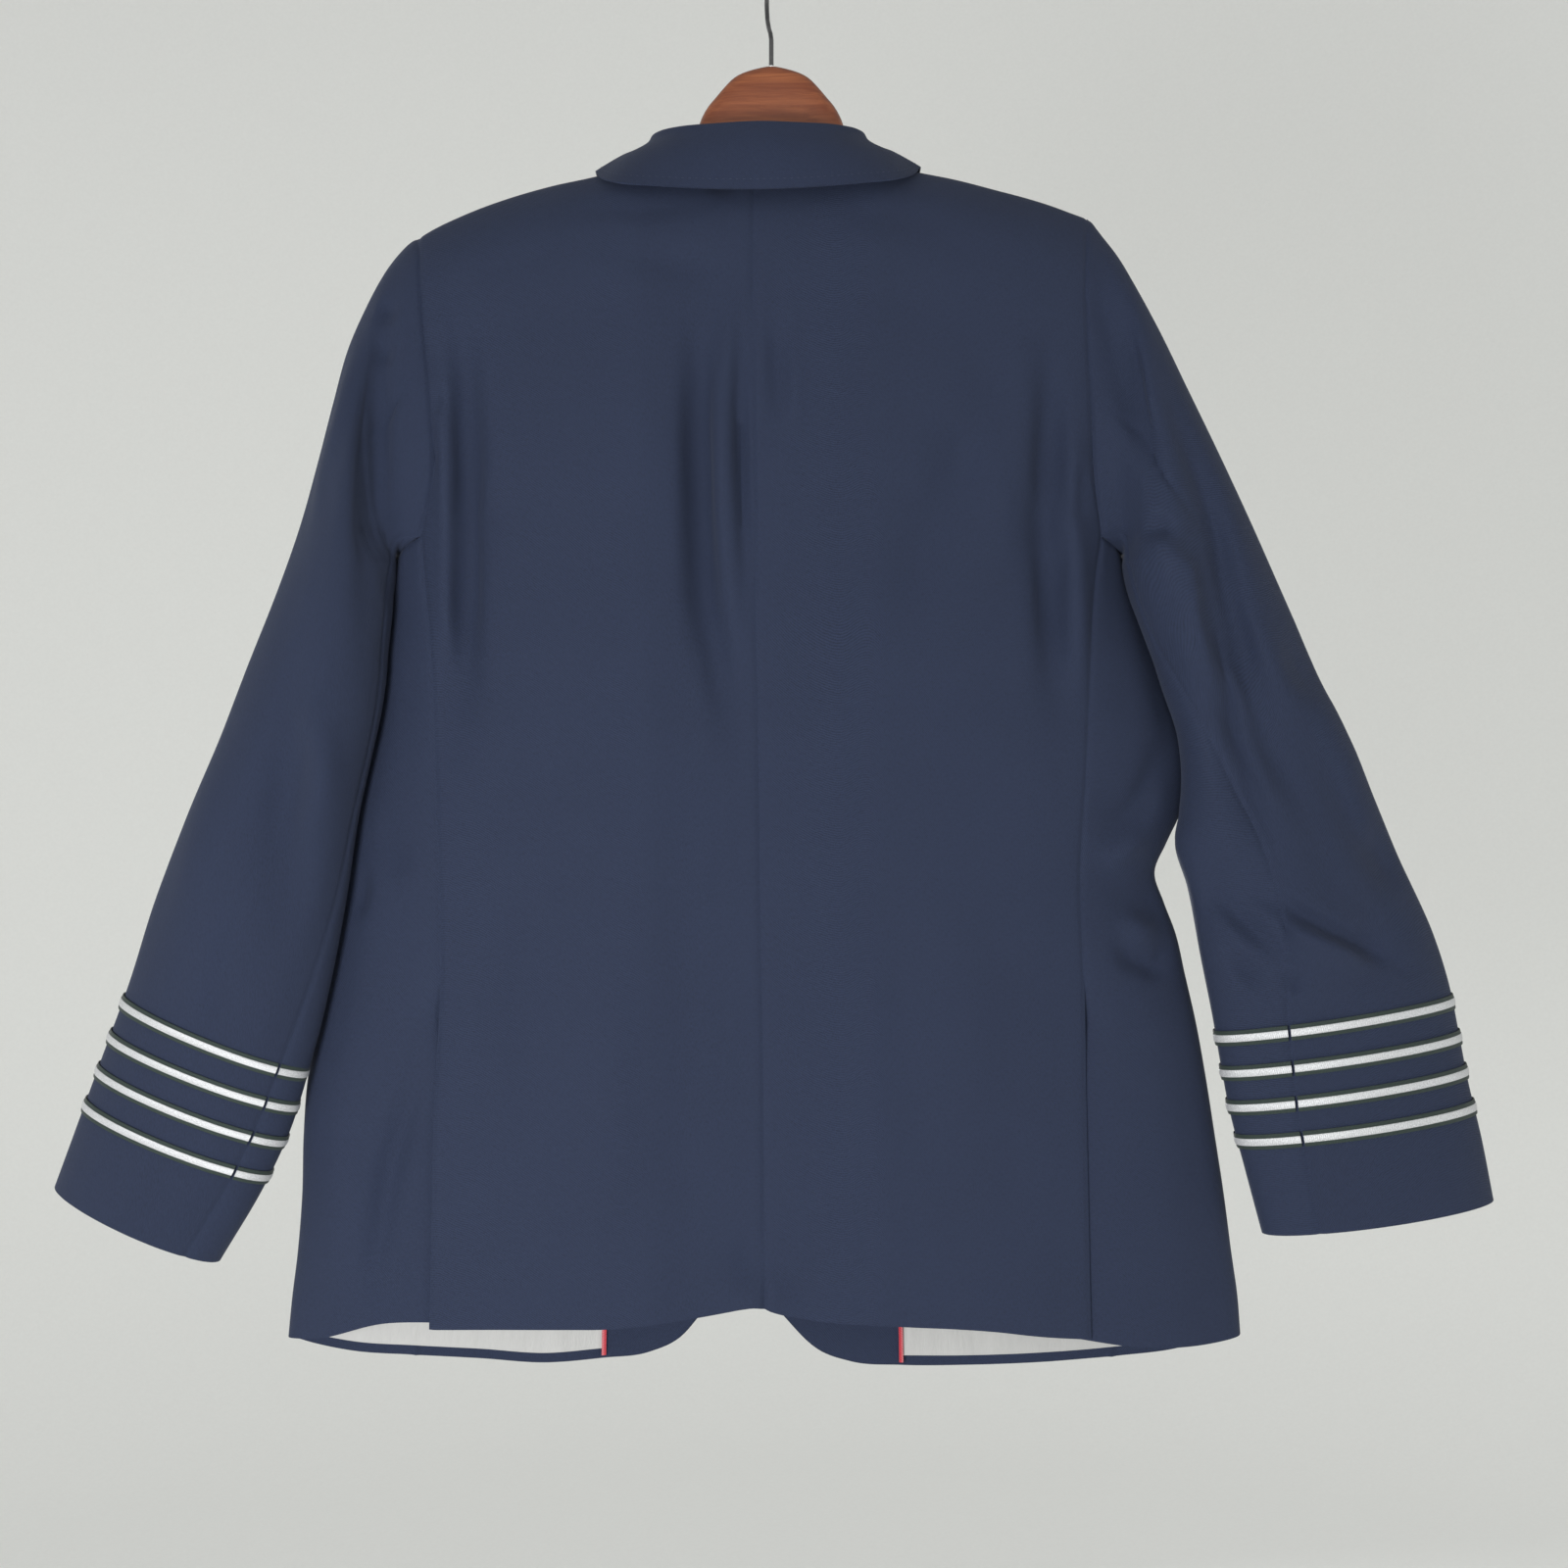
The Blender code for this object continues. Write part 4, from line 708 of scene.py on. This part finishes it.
def cloth_lengths(grid):
    """Distance of each point from the grid's middle column and from its top row."""
    across = np.linalg.norm(np.diff(grid, axis=1), axis=2)
    across = np.concatenate([np.zeros((len(grid), 1)), np.cumsum(across, axis=1)], axis=1)
    down = np.linalg.norm(np.diff(grid, axis=0), axis=2)
    down = np.concatenate([np.zeros((1, grid.shape[1])), np.cumsum(down, axis=0)], axis=0)
    return across - across[:, -1:] / 2, down


def crease_heights(places, creases):
    """Height of the listed creases at places given as x and z."""
    total = np.zeros(len(places))
    for half_width, height, way in creases:
        way = np.array(way, float) * MM
        begin, leg = way[:-1], np.diff(way, axis=0)
        size = np.linalg.norm(leg, axis=1)
        share = ((places[:, None] - begin) * leg).sum(2) / size ** 2
        share = np.clip(share, 0.0, 1.0)
        gap = np.linalg.norm(places[:, None] - begin - share[..., None] * leg, axis=2)
        leg_at = gap.argmin(axis=1)
        rows = np.arange(len(places))
        run = np.concatenate([[0.0], np.cumsum(size)])
        along = (run[leg_at] + share[rows, leg_at] * size[leg_at]) / run[-1]
        ends = np.minimum(1.0, np.minimum(2.2 * along, 2.2 * (1 - along)))
        ends = ends * ends * (3 - 2 * ends)
        total += height * MM * np.exp(-(gap[rows, leg_at] / (half_width * MM)) ** 2) * (0.04 + 0.96 * ends)
    return total


def creased(grid, back_creases, front_creases, scale, cuff=0.0):
    """Grid with its creases raised or pressed in, from the back and from the front, above any cuff."""
    normals = grid_normals(grid)
    places = grid[:, :, (0, 2)].reshape(-1, 2)
    shape = grid.shape[:2]
    back = np.clip(-normals[:, :, 1] * 1.5, 0, 1)
    front = np.clip(normals[:, :, 1] * 1.5, 0, 1)
    height = crease_heights(places, back_creases).reshape(shape) * back
    height += crease_heights(places, front_creases).reshape(shape) * front
    calm = edge_distance(grid, ("left", "right", "top")) / 0.006
    height *= 0.35 + 0.65 * np.clip(calm, 0, 1)
    if cuff:
        height *= np.clip((edge_distance(grid, ("bottom",)) - cuff) / CUFF_FADE, 0, 1)
    return grid + normals * (height * scale)[..., None]


def edge_distance(grid, edges):
    """Distance over the cloth from the named edges of a grid."""
    across, down = cloth_lengths(grid)
    far = np.full(grid.shape[:2], 1.0)
    if "left" in edges:
        far = np.minimum(far, across - across[:, :1])
    if "right" in edges:
        far = np.minimum(far, across[:, -1:] - across)
    if "top" in edges:
        far = np.minimum(far, down)
    if "bottom" in edges:
        far = np.minimum(far, down[-1:] - down)
    return far


def from_edge(grid, edge):
    """The same grid with the named edge as its first row."""
    if edge in ("left", "right"):
        grid = grid.transpose(1, 0, 2)
    return grid[::-1] if edge in ("bottom", "right") else grid


SEAM_WIDTH = 0.0019
# Width of the wool beside a seam inside a sleeve
SLEEVE_ALLOWANCE = 0.0095
# Height of the flat cuff that the braids lie on, and over which the creases above it die out
CUFF_FLAT = 0.132
CUFF_FADE = 0.024


def sewn(grid, edges, depth, reach):
    """Grid whose named edges are drawn in and meet their neighbours, as at a pressed seam."""
    pull = depth * np.exp(-(edge_distance(grid, edges) / SEAM_WIDTH) ** 2)
    drawn = grid - grid_normals(grid) * pull[..., None]
    for edge in edges:
        rows = from_edge(drawn, edge)
        way = rows[0] - rows[2]
        rows[0] += way / np.linalg.norm(way, axis=1, keepdims=True) * reach
    return drawn


def leaning(grid, side):
    """Grid of a sleeve whose inner side leans over to the body."""
    table = np.array(LEAN[side], float)[::-1] * MM
    z = grid[:, :, 2]
    inner_x = np.interp(z, table[:, 0], table[:, 1])
    reach = np.interp(z, table[:, 0], table[:, 2])
    near = np.exp(-((grid[:, :, 0] - inner_x) / (LEAN_WIDTH * MM)) ** 2)
    moved = grid.copy()
    moved[:, :, 0] += reach * near * (1 if side == "left" else -1)
    return moved


def shell(name, grid, thickness, materials, hem=0.0, allowance=0.0, normals=None):
    """Closed thin shell under a grid. Its back has the last material inside hem and seams."""
    rows, columns = grid.shape[:2]
    count = rows * columns
    if normals is None:
        normals = grid_normals(grid)
    inner = grid - normals * thickness
    points = np.concatenate([grid.reshape(-1, 3), inner.reshape(-1, 3)])
    index = np.arange(count).reshape(rows, columns)
    quads = np.stack([index[:-1, :-1], index[1:, :-1], index[1:, 1:], index[:-1, 1:]], axis=2).reshape(-1, 4)
    loop = np.concatenate([index[0, :-1], index[:-1, -1], index[-1, :0:-1], index[:0:-1, 0]])
    after = np.roll(loop, -1)
    rim = np.stack([loop, after, after + count, loop + count], axis=1)
    faces = np.concatenate([quads, quads[:, ::-1] + count, rim])
    mesh = bpy.data.meshes.new(name)
    mesh.from_pydata(points.tolist(), [], faces.tolist())
    across, down = cloth_lengths(grid)
    flat = np.stack([across.ravel(), -down.ravel()], axis=1)
    set_cloth_places(mesh, np.concatenate([flat, flat]))
    for material in materials:
        mesh.materials.append(material)
    sides = np.zeros(len(faces), np.int32)
    turned_up = edge_distance(grid, ("bottom",))[:-1, :-1].ravel() < hem
    turned_up |= edge_distance(grid, ("left", "right", "top"))[:-1, :-1].ravel() < allowance
    sides[len(quads):2 * len(quads)] = np.where(turned_up, 0, len(materials) - 1)
    mesh.polygons.foreach_set("material_index", sides)
    mesh.shade_smooth()
    mesh.set_sharp_from_angle(angle=radians(60))
    mesh.update()
    thing = bpy.data.objects.new(name, mesh)
    bpy.context.scene.collection.objects.link(thing)
    return thing


def set_cloth_places(mesh, flat):
    """Store where each point lies on the flat cloth, in metres."""
    layer = mesh.uv_layers.new(name="cloth")
    corners = np.zeros(len(mesh.loops), np.int32)
    mesh.loops.foreach_get("vertex_index", corners)
    layer.data.foreach_set("uv", flat[corners].astype(np.float32).ravel())


def grid_area(grid):
    """Area of a grid's quads."""
    one = np.cross(grid[1:, :-1] - grid[:-1, :-1], grid[:-1, 1:] - grid[:-1, :-1])
    two = np.cross(grid[:-1, 1:] - grid[1:, 1:], grid[1:, :-1] - grid[1:, 1:])
    return float((np.linalg.norm(one, axis=2) + np.linalg.norm(two, axis=2)).sum() / 2)


def settle(piece, node):
    """Put a finished piece in its node's place on the one body."""
    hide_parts(node)
    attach(piece, "root")


def declare_cloth(grid):
    """Work out the width, length and area to which a cloth piece was cut; they are not kept."""
    across, down = cloth_lengths(grid)
    width = float((across[:, -1] - across[:, 0]).max())
    length = float(down[-1].max())
    area = min(grid_area(grid), width * length)


def cloth_panel(node, wall, edges, creases):
    """Make one cut piece of cloth on its solid's form. Returns it and its grid."""
    settings = bpy.context.scene.jacket_cloth
    grid = fine_grid(skin_grid(node, wall), settings.step)
    allowance, cuff = 0.0, 0.0
    if node.startswith("sleeve"):
        grid = leaning(grid, node.split("_")[-1])
        allowance, cuff = SLEEVE_ALLOWANCE, CUFF_FLAT
    normals = grid_normals(grid)
    grid = creased(grid, creases[0], creases[1], settings.crease_scale, cuff)
    grid = sewn(grid, edges, settings.seam_depth, settings.seam_reach)
    materials = [wool(), lining()]
    piece = shell(node + "_cloth", grid, settings.thickness, materials, settings.hem_depth, allowance, normals)
    settle(piece, node)
    return piece, grid


def mirrored(creases):
    """The same creases on the wearer's other side."""
    return [(width, height, tuple((-x, z) for x, z in way)) for width, height, way in creases]


def finish_named(name, maker):
    """A finish that is made once and then shared."""
    found = bpy.data.materials.get(name)
    return found or maker()


def wool():
    return finish_named("navy_worsted_twill", lambda: twill_wool(bpy.context.scene.jacket_cloth))


def lining():
    return finish_named("pale_grey_lining", lambda: smooth_lining(bpy.context.scene.jacket_cloth))


class OBJECT_OT_jacket_body(bpy.types.Operator):
    """Make the back, side and front panels"""

    bl_idname = "object.jacket_body"
    bl_label = "Body panels"

    def execute(self, context):
        creases = (BACK_CREASES, FRONT_CREASES)
        for kind in ("back", "side", "front"):
            for side in ("left", "right"):
                node = kind + "_" + side
                if kind == "front":
                    sewn_side = outer_edge(node)
                    edges = (sewn_side, "top")
                else:
                    edges = ("left", "right", "top")
                piece, grid = cloth_panel(node, BODY_WALL, edges, creases)
                declare_cloth(grid)
        return {"FINISHED"}


def outer_edge(node):
    """Which end of a node's rows lies further from the middle."""
    grid = skin_grid(node, BODY_WALL)
    first, last = abs(grid[:, 0, 0]).mean(), abs(grid[:, -1, 0]).mean()
    return "left" if first > last else "right"


class OBJECT_OT_jacket_sleeves(bpy.types.Operator):
    """Make the top and under sleeves"""

    bl_idname = "object.jacket_sleeves"
    bl_label = "Sleeves"

    def execute(self, context):
        for side in ("left", "right"):
            front = SLEEVE_FRONT_CREASES if side == "right" else mirrored(SLEEVE_FRONT_CREASES)
            creases = (SLEEVE_CREASES[side], front)
            for kind in ("top", "under"):
                node = "sleeve_%s_%s" % (kind, side)
                piece, grid = cloth_panel(node, SLEEVE_WALL, ("left", "right", "top"), creases)
                declare_cloth(grid)
        return {"FINISHED"}


class OBJECT_OT_jacket_collar(bpy.types.Operator):
    """Make the collar and the lapels, with their pick stitches"""

    bl_idname = "object.jacket_collar"
    bl_label = "Collar and lapels"

    def execute(self, context):
        settings = context.scene.jacket_cloth
        step = settings.step * 0.7
        grid = fine_grid(skin_grid("collar", COLLAR_WALL), step)
        piece = shell("collar_cloth", grid, COLLAR_WALL * MM, [wool()])
        settle(piece, "collar")
        declare_cloth(grid)
        pick_stitches("collar_stitches", edge_path(grid, "bottom"))
        for side in ("left", "right"):
            node = "lapel_" + side
            grid = fine_grid(skin_grid(node, BODY_WALL), step)
            piece = shell(node + "_cloth", grid, settings.thickness, [wool()])
            settle(piece, node)
            declare_cloth(grid)
            outer = "left" if abs(grid[:, 0, 0]).mean() > abs(grid[:, -1, 0]).mean() else "right"
            pick_stitches(node + "_stitches", edge_path(grid, outer))
        return {"FINISHED"}


STITCH_LIFT = 0.0001
STITCH_ENDS = 5


def edge_path(grid, edge):
    """Points just above the cloth, inside one edge by the stitch inset."""
    inset = bpy.context.scene.jacket_trim.stitch_inset
    rows = from_edge(grid + grid_normals(grid) * STITCH_LIFT, edge)
    line = smooth_line(rows, run_lengths(rows), np.array([inset]))[0]
    return line[STITCH_ENDS:-STITCH_ENDS]


def stitch_tree():
    """Node group that lays short stitches along a curve."""
    found = bpy.data.node_groups.get("pick_stitches")
    if found:
        return found
    tree = bpy.data.node_groups.new("pick_stitches", "GeometryNodeTree")
    face = tree.interface
    face.new_socket("Geometry", in_out="INPUT", socket_type="NodeSocketGeometry")
    for name in ("Stitch Length", "Stitch Pitch", "Thread Thickness"):
        face.new_socket(name, in_out="INPUT", socket_type="NodeSocketFloat")
    face.new_socket("Thread", in_out="INPUT", socket_type="NodeSocketMaterial")
    face.new_socket("Geometry", in_out="OUTPUT", socket_type="NodeSocketGeometry")
    nodes, links = tree.nodes, tree.links
    given = nodes.new("NodeGroupInput")
    result = nodes.new("NodeGroupOutput")
    points = nodes.new("GeometryNodeCurveToPoints")
    points.mode = "LENGTH"
    ball = nodes.new("GeometryNodeMeshUVSphere")
    ball.inputs["Segments"].default_value = 6
    ball.inputs["Rings"].default_value = 4
    ball.inputs["Radius"].default_value = 0.5
    size = nodes.new("ShaderNodeCombineXYZ")
    place = nodes.new("GeometryNodeInstanceOnPoints")
    real = nodes.new("GeometryNodeRealizeInstances")
    finish = nodes.new("GeometryNodeSetMaterial")
    links.new(given.outputs["Geometry"], points.inputs["Curve"])
    links.new(given.outputs["Stitch Pitch"], points.inputs["Length"])
    links.new(points.outputs["Points"], place.inputs["Points"])
    links.new(points.outputs["Rotation"], place.inputs["Rotation"])
    links.new(ball.outputs["Mesh"], place.inputs["Instance"])
    for socket in ("X", "Y"):
        links.new(given.outputs["Thread Thickness"], size.inputs[socket])
    links.new(given.outputs["Stitch Length"], size.inputs["Z"])
    links.new(size.outputs["Vector"], place.inputs["Scale"])
    links.new(place.outputs["Instances"], real.inputs["Geometry"])
    links.new(real.outputs["Geometry"], finish.inputs["Geometry"])
    links.new(given.outputs["Thread"], finish.inputs["Material"])
    links.new(finish.outputs["Geometry"], result.inputs["Geometry"])
    return tree


def pick_stitches(name, line):
    """Sew a row of pick stitches along a line of points."""
    settings = bpy.context.scene.jacket_trim
    curve = bpy.data.curves.new(name + "_way", "CURVE")
    curve.dimensions = "3D"
    spline = curve.splines.new("POLY")
    spline.points.add(len(line) - 1)
    for point, place in zip(spline.points, line):
        point.co = (*place, 1.0)
    guide = bpy.data.objects.new(name + "_way", curve)
    bpy.context.scene.collection.objects.link(guide)
    tree = stitch_tree()
    modifier = guide.modifiers.new("Stitches", "NODES")
    modifier.node_group = tree
    thread = finish_named("navy_sewing_thread", lambda: sewing_thread(bpy.context.scene.jacket_cloth))
    values = {
        "Stitch Length": settings.stitch_length, "Stitch Pitch": settings.stitch_pitch,
        "Thread Thickness": settings.stitch_thickness, "Thread": thread,
    }
    for socket in tree.interface.items_tree:
        if socket.in_out == "INPUT" and socket.name in values:
            modifier[socket.identifier] = values[socket.name]
    graph = bpy.context.evaluated_depsgraph_get()
    mesh = bpy.data.meshes.new_from_object(guide.evaluated_get(graph))
    mesh.shade_smooth()
    stitches = bpy.data.objects.new(name, mesh)
    bpy.context.scene.collection.objects.link(stitches)
    bpy.data.objects.remove(guide)
    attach(stitches, "root")
    return stitches


class OBJECT_OT_jacket_inside(bpy.types.Operator):
    """Make the facings, the linings and the piping between them"""

    bl_idname = "object.jacket_inside"
    bl_label = "Facings, linings and piping"

    def execute(self, context):
        settings = context.scene.jacket_cloth
        for side in ("left", "right"):
            for kind, finish, slot in (("facing", wool(), "navy_wool"), ("lining", lining(), "grey_lining")):
                node = kind + "_" + side
                grid = fine_grid(skin_grid(node, SKIN_WALL), settings.step)
                piece = shell(node + "_cloth", grid, SKIN_WALL * MM, [finish])
                settle(piece, node)
                declare_cloth(grid)
            ribbon("piping_" + side, "piping_cord_" + side, PIPING_WALL, PIPING_PROFILE, piping())
        return {"FINISHED"}


def piping():
    return finish_named("red_satin_piping", lambda: satin_piping(bpy.context.scene.jacket_trim))


def braid_finish():
    return finish_named("woven_silver_braid", lambda: woven_braid(bpy.context.scene.jacket_trim))


def ribbon(node, name, wall, profile, material):
    """Narrow band on its solid's form with a profile across it. Its pattern runs along it."""
    grid = skin_grid(node, wall)
    if grid.shape[0] > 2:
        grid = grid.transpose(1, 0, 2)[::-1]
    turned_grid = grid.transpose(1, 0, 2)
    knots = run_lengths(turned_grid)
    places = np.linspace(0.0, knots[-1], max(8, int(knots[-1] / RIBBON_STEP)))
    edges = smooth_line(turned_grid, knots, places).transpose(1, 0, 2)
    out = grid_normals(edges)[0]
    foot = -wall * FOOT_SHARE
    rows = [edges[0] + out * foot * MM]
    for share, rise in profile:
        rows.append(edges[0] * (1 - share) + edges[1] * share + out * rise * MM)
    rows.append(edges[1] + out * foot * MM)
    shares = [0.0] + [share for share, rise in profile] + [1.0]
    piece = closed_band(name, rows, shares, places, material)
    settle(piece, node)
    return piece


def closed_band(name, rows, shares, places, material):
    """Closed band whose rows run along it, from one foot over its top to the other."""
    mesh = bmesh.new()
    layer = mesh.loops.layers.uv.new("cloth")
    verts = [[mesh.verts.new(point) for point in line] for line in rows]
    place = {vert: (along, share) for line, share in zip(verts, shares) for vert, along in zip(line, places)}
    for line, after in zip(verts, verts[1:] + verts[:1]):
        for j in range(len(line) - 1):
            mesh.faces.new((line[j], after[j], after[j + 1], line[j + 1]))
    mesh.faces.new([line[0] for line in verts])
    mesh.faces.new([line[-1] for line in verts])
    bmesh.ops.recalc_face_normals(mesh, faces=mesh.faces)
    for face in mesh.faces:
        for corner in face.loops:
            corner[layer].uv = place[corner.vert]
    return finished(name, mesh, material, 50)


def finished(name, mesh, material, sharp=60):
    """Put a finished mesh in the scene as a named object."""
    made = bpy.data.meshes.new(name)
    mesh.to_mesh(made)
    mesh.free()
    made.materials.append(material)
    made.shade_smooth()
    made.set_sharp_from_angle(angle=radians(sharp))
    thing = bpy.data.objects.new(name, made)
    bpy.context.scene.collection.objects.link(thing)
    return thing


class OBJECT_OT_jacket_braids(bpy.types.Operator):
    """Sew four silver braids round each sleeve"""

    bl_idname = "object.jacket_braids"
    bl_label = "Sleeve braids"

    def execute(self, context):
        for side in ("left", "right"):
            for number in range(1, 5):
                node = "braid_%s_%d" % (side, number)
                name = "braid_tape_%s_%d" % (side, number)
                ribbon(node, name, BRAID_WALL, BRAID_PROFILE, braid_finish())
        return {"FINISHED"}


class OBJECT_OT_jacket_buttons(bpy.types.Operator):
    """Turn the two domed front buttons"""

    bl_idname = "object.jacket_buttons"
    bl_label = "Buttons"

    def execute(self, context):
        metal = finish_named("brushed_silver_metal", lambda: brushed_silver(context.scene.jacket_trim))
        for number in (1, 2):
            node = "button_%d" % number
            low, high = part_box(node)
            middle = (low + high) / 2
            place = Matrix.Translation((middle.x, low.y, middle.z)) @ Matrix.Rotation(radians(-90), 4, "X")
            piece = turned("button_dome_%d" % number, BUTTON_PROFILE, 48, place, metal)
            settle(piece, node)
        return {"FINISHED"}


def turned(name, profile, segments, place, material):
    """Shape turned about an axis from a profile of radius and height."""
    mesh = bmesh.new()
    chain = [mesh.verts.new((radius * MM, 0, height * MM)) for radius, height in profile]
    edges = [mesh.edges.new(pair) for pair in zip(chain, chain[1:])]
    bmesh.ops.spin(mesh, geom=chain + edges, axis=(0, 0, 1), cent=(0, 0, 0), steps=segments, angle=2 * pi)
    bmesh.ops.remove_doubles(mesh, verts=mesh.verts, dist=0.000005)
    bmesh.ops.recalc_face_normals(mesh, faces=mesh.faces)
    mesh.transform(place)
    return finished(name, mesh, material)


class OBJECT_OT_jacket_hanger(bpy.types.Operator):
    """Shape the wooden hanger and finish its wire hook"""

    bl_idname = "object.jacket_hanger"
    bl_label = "Hanger"

    def execute(self, context):
        settings = context.scene.jacket_hanger
        half = np.array(HANGER, float)
        rows = np.concatenate([half[:0:-1] * (-1, 1, 1, 1), half])[:, None, :]
        knots = run_lengths(rows[:, :, :2])
        samples = np.linspace(0.0, knots[-1], HANGER_STEPS * (len(rows) - 1) + 1)
        fine = smooth_line(rows, knots, samples)[:, 0]
        mesh = bmesh.new()
        rings = []
        for x, top, low, depth in fine.tolist():
            middle, tall = (top + low) / 2, (top - low) / 2
            ring = []
            for step in range(HANGER_SIDES):
                turn = 2 * pi * step / HANGER_SIDES
                y = depth * abs(sin(turn)) ** 0.8 * (1 if sin(turn) >= 0 else -1)
                z = middle + tall * abs(cos(turn)) ** 0.9 * (1 if cos(turn) >= 0 else -1)
                ring.append(mesh.verts.new((x * MM, y * MM, z * MM)))
            rings.append(ring)
        for ring, following in zip(rings, rings[1:]):
            for k in range(HANGER_SIDES):
                after = (k + 1) % HANGER_SIDES
                mesh.faces.new((ring[k], ring[after], following[after], following[k]))
        mesh.faces.new(rings[0])
        mesh.faces.new(rings[-1][::-1])
        bmesh.ops.recalc_face_normals(mesh, faces=mesh.faces)
        piece = finished("hanger_body_wood", mesh, varnished_wood(settings))
        settle(piece, "hanger_body")
        hook = frame["nodes"]["hanger_hook"]
        finish = plated_wire(settings)
        if hook.material_slots:
            hook.material_slots[0].material = finish
        else:
            hook.data.materials.append(finish)
        return {"FINISHED"}


class OBJECT_OT_jacket_stage(bpy.types.Operator):
    """Set the camera, the soft lights, the floor and the round backdrop"""

    bl_idname = "object.jacket_stage"
    bl_label = "Stage"

    def execute(self, context):
        settings = context.scene.jacket_stage
        scene = context.scene
        eye = bpy.data.cameras.new("photo_camera")
        eye.lens = CAMERA_LENS
        eye.sensor_width = 36.0
        eye.clip_end = 30.0
        camera = bpy.data.objects.new("photo_camera", eye)
        camera.location = CAMERA_PLACE
        camera.rotation_euler = (radians(90), 0, 0)
        scene.collection.objects.link(camera)
        scene.camera = camera

        soft_light("key_light", settings.key_power, 0.42, (-0.55, -1.42, -0.80))
        soft_light("side_fill", settings.fill_power, 1.0, (1.8, -1.4, -0.6))
        soft_light("front_key", settings.front_power, 0.9, (-0.35, 1.9, -0.5))

        world = bpy.data.worlds.new("plain_light")
        world.use_nodes = True
        sky = world.node_tree.nodes["Background"]
        sky.inputs["Color"].default_value = (1.0, 1.0, 1.0, 1.0)
        sky.inputs["Strength"].default_value = settings.round_light
        scene.world = world
        scene.view_settings.view_transform = "Standard"

        mesh = bmesh.new()
        floor_z = CAD_BOX[0].z - FLOOR_DROP
        ring = []
        profile = ((0.0, 0.0), (settings.backdrop_radius - 0.6, 0.0))
        profile += tuple((settings.backdrop_radius - 0.6 + 0.6 * sin(radians(a)), 0.6 - 0.6 * cos(radians(a)))
                         for a in range(10, 91, 10))
        profile += ((settings.backdrop_radius, BACKDROP_HEIGHT),)
        for radius, height in profile:
            ring.append(mesh.verts.new((radius, 0, floor_z + height)))
        edges = [mesh.edges.new(pair) for pair in zip(ring, ring[1:])]
        bmesh.ops.spin(mesh, geom=ring + edges, axis=(0, 0, 1), cent=(0, 0, 0),
                       steps=settings.wall_segments, angle=2 * pi)
        bmesh.ops.remove_doubles(mesh, verts=mesh.verts, dist=0.0001)
        bmesh.ops.recalc_face_normals(mesh, faces=mesh.faces)
        bmesh.ops.reverse_faces(mesh, faces=mesh.faces)
        finished("floor_and_backdrop", mesh, plain_backdrop(settings))
        return {"FINISHED"}


def soft_light(name, power, size, place):
    """Square soft light that faces the jacket."""
    lamp = bpy.data.lights.new(name, "AREA")
    lamp.energy = power
    lamp.size = size
    light = bpy.data.objects.new(name, lamp)
    light.location = place
    light.rotation_euler = (HANG_MIDDLE - Vector(place)).to_track_quat("-Z", "Y").to_euler()
    bpy.context.scene.collection.objects.link(light)
    return light


OPERATORS = (
    OBJECT_OT_jacket_stage,
    OBJECT_OT_jacket_hanger,
    OBJECT_OT_jacket_body,
    OBJECT_OT_jacket_braids,
    OBJECT_OT_jacket_sleeves,
    OBJECT_OT_jacket_inside,
    OBJECT_OT_jacket_collar,
    OBJECT_OT_jacket_buttons,
)


class VIEW3D_PT_jacket(bpy.types.Panel):
    """Lists the jacket's settings and the steps that build it"""

    bl_label = "Pilot Uniform Jacket"
    bl_idname = "VIEW3D_PT_jacket"
    bl_space_type = "VIEW_3D"
    bl_region_type = "UI"
    bl_category = "Jacket"

    def draw(self, context):
        layout = self.layout
        for group in (context.scene.jacket_cloth, context.scene.jacket_trim,
                      context.scene.jacket_hanger, context.scene.jacket_stage):
            box = layout.box()
            for name in group.__annotations__:
                box.prop(group, name)
        for operator in OPERATORS:
            layout.operator(operator.bl_idname)


SETTINGS = {
    "jacket_cloth": JacketClothSettings,
    "jacket_trim": JacketTrimSettings,
    "jacket_hanger": JacketHangerSettings,
    "jacket_stage": JacketStageSettings,
}


def register():
    for name, group in SETTINGS.items():
        bpy.utils.register_class(group)
        setattr(bpy.types.Scene, name, PointerProperty(type=group))
    for operator in OPERATORS:
        bpy.utils.register_class(operator)
    bpy.utils.register_class(VIEW3D_PT_jacket)


def unregister():
    bpy.utils.unregister_class(VIEW3D_PT_jacket)
    for operator in reversed(OPERATORS):
        bpy.utils.unregister_class(operator)
    for name, group in SETTINGS.items():
        delattr(bpy.types.Scene, name)
        bpy.utils.unregister_class(group)


def main():
    """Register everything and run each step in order."""
    register()
    for thing in list(bpy.data.objects):
        if thing.name in ("Cube", "Light", "Camera"):
            bpy.data.objects.remove(thing)
    bpy.ops.object.jacket_stage()
    bpy.ops.object.jacket_hanger()
    bpy.ops.object.jacket_body()
    bpy.ops.object.jacket_braids()
    bpy.ops.object.jacket_sleeves()
    bpy.ops.object.jacket_inside()
    bpy.ops.object.jacket_collar()
    bpy.ops.object.jacket_buttons()


if __name__ == "__main__":
    main()
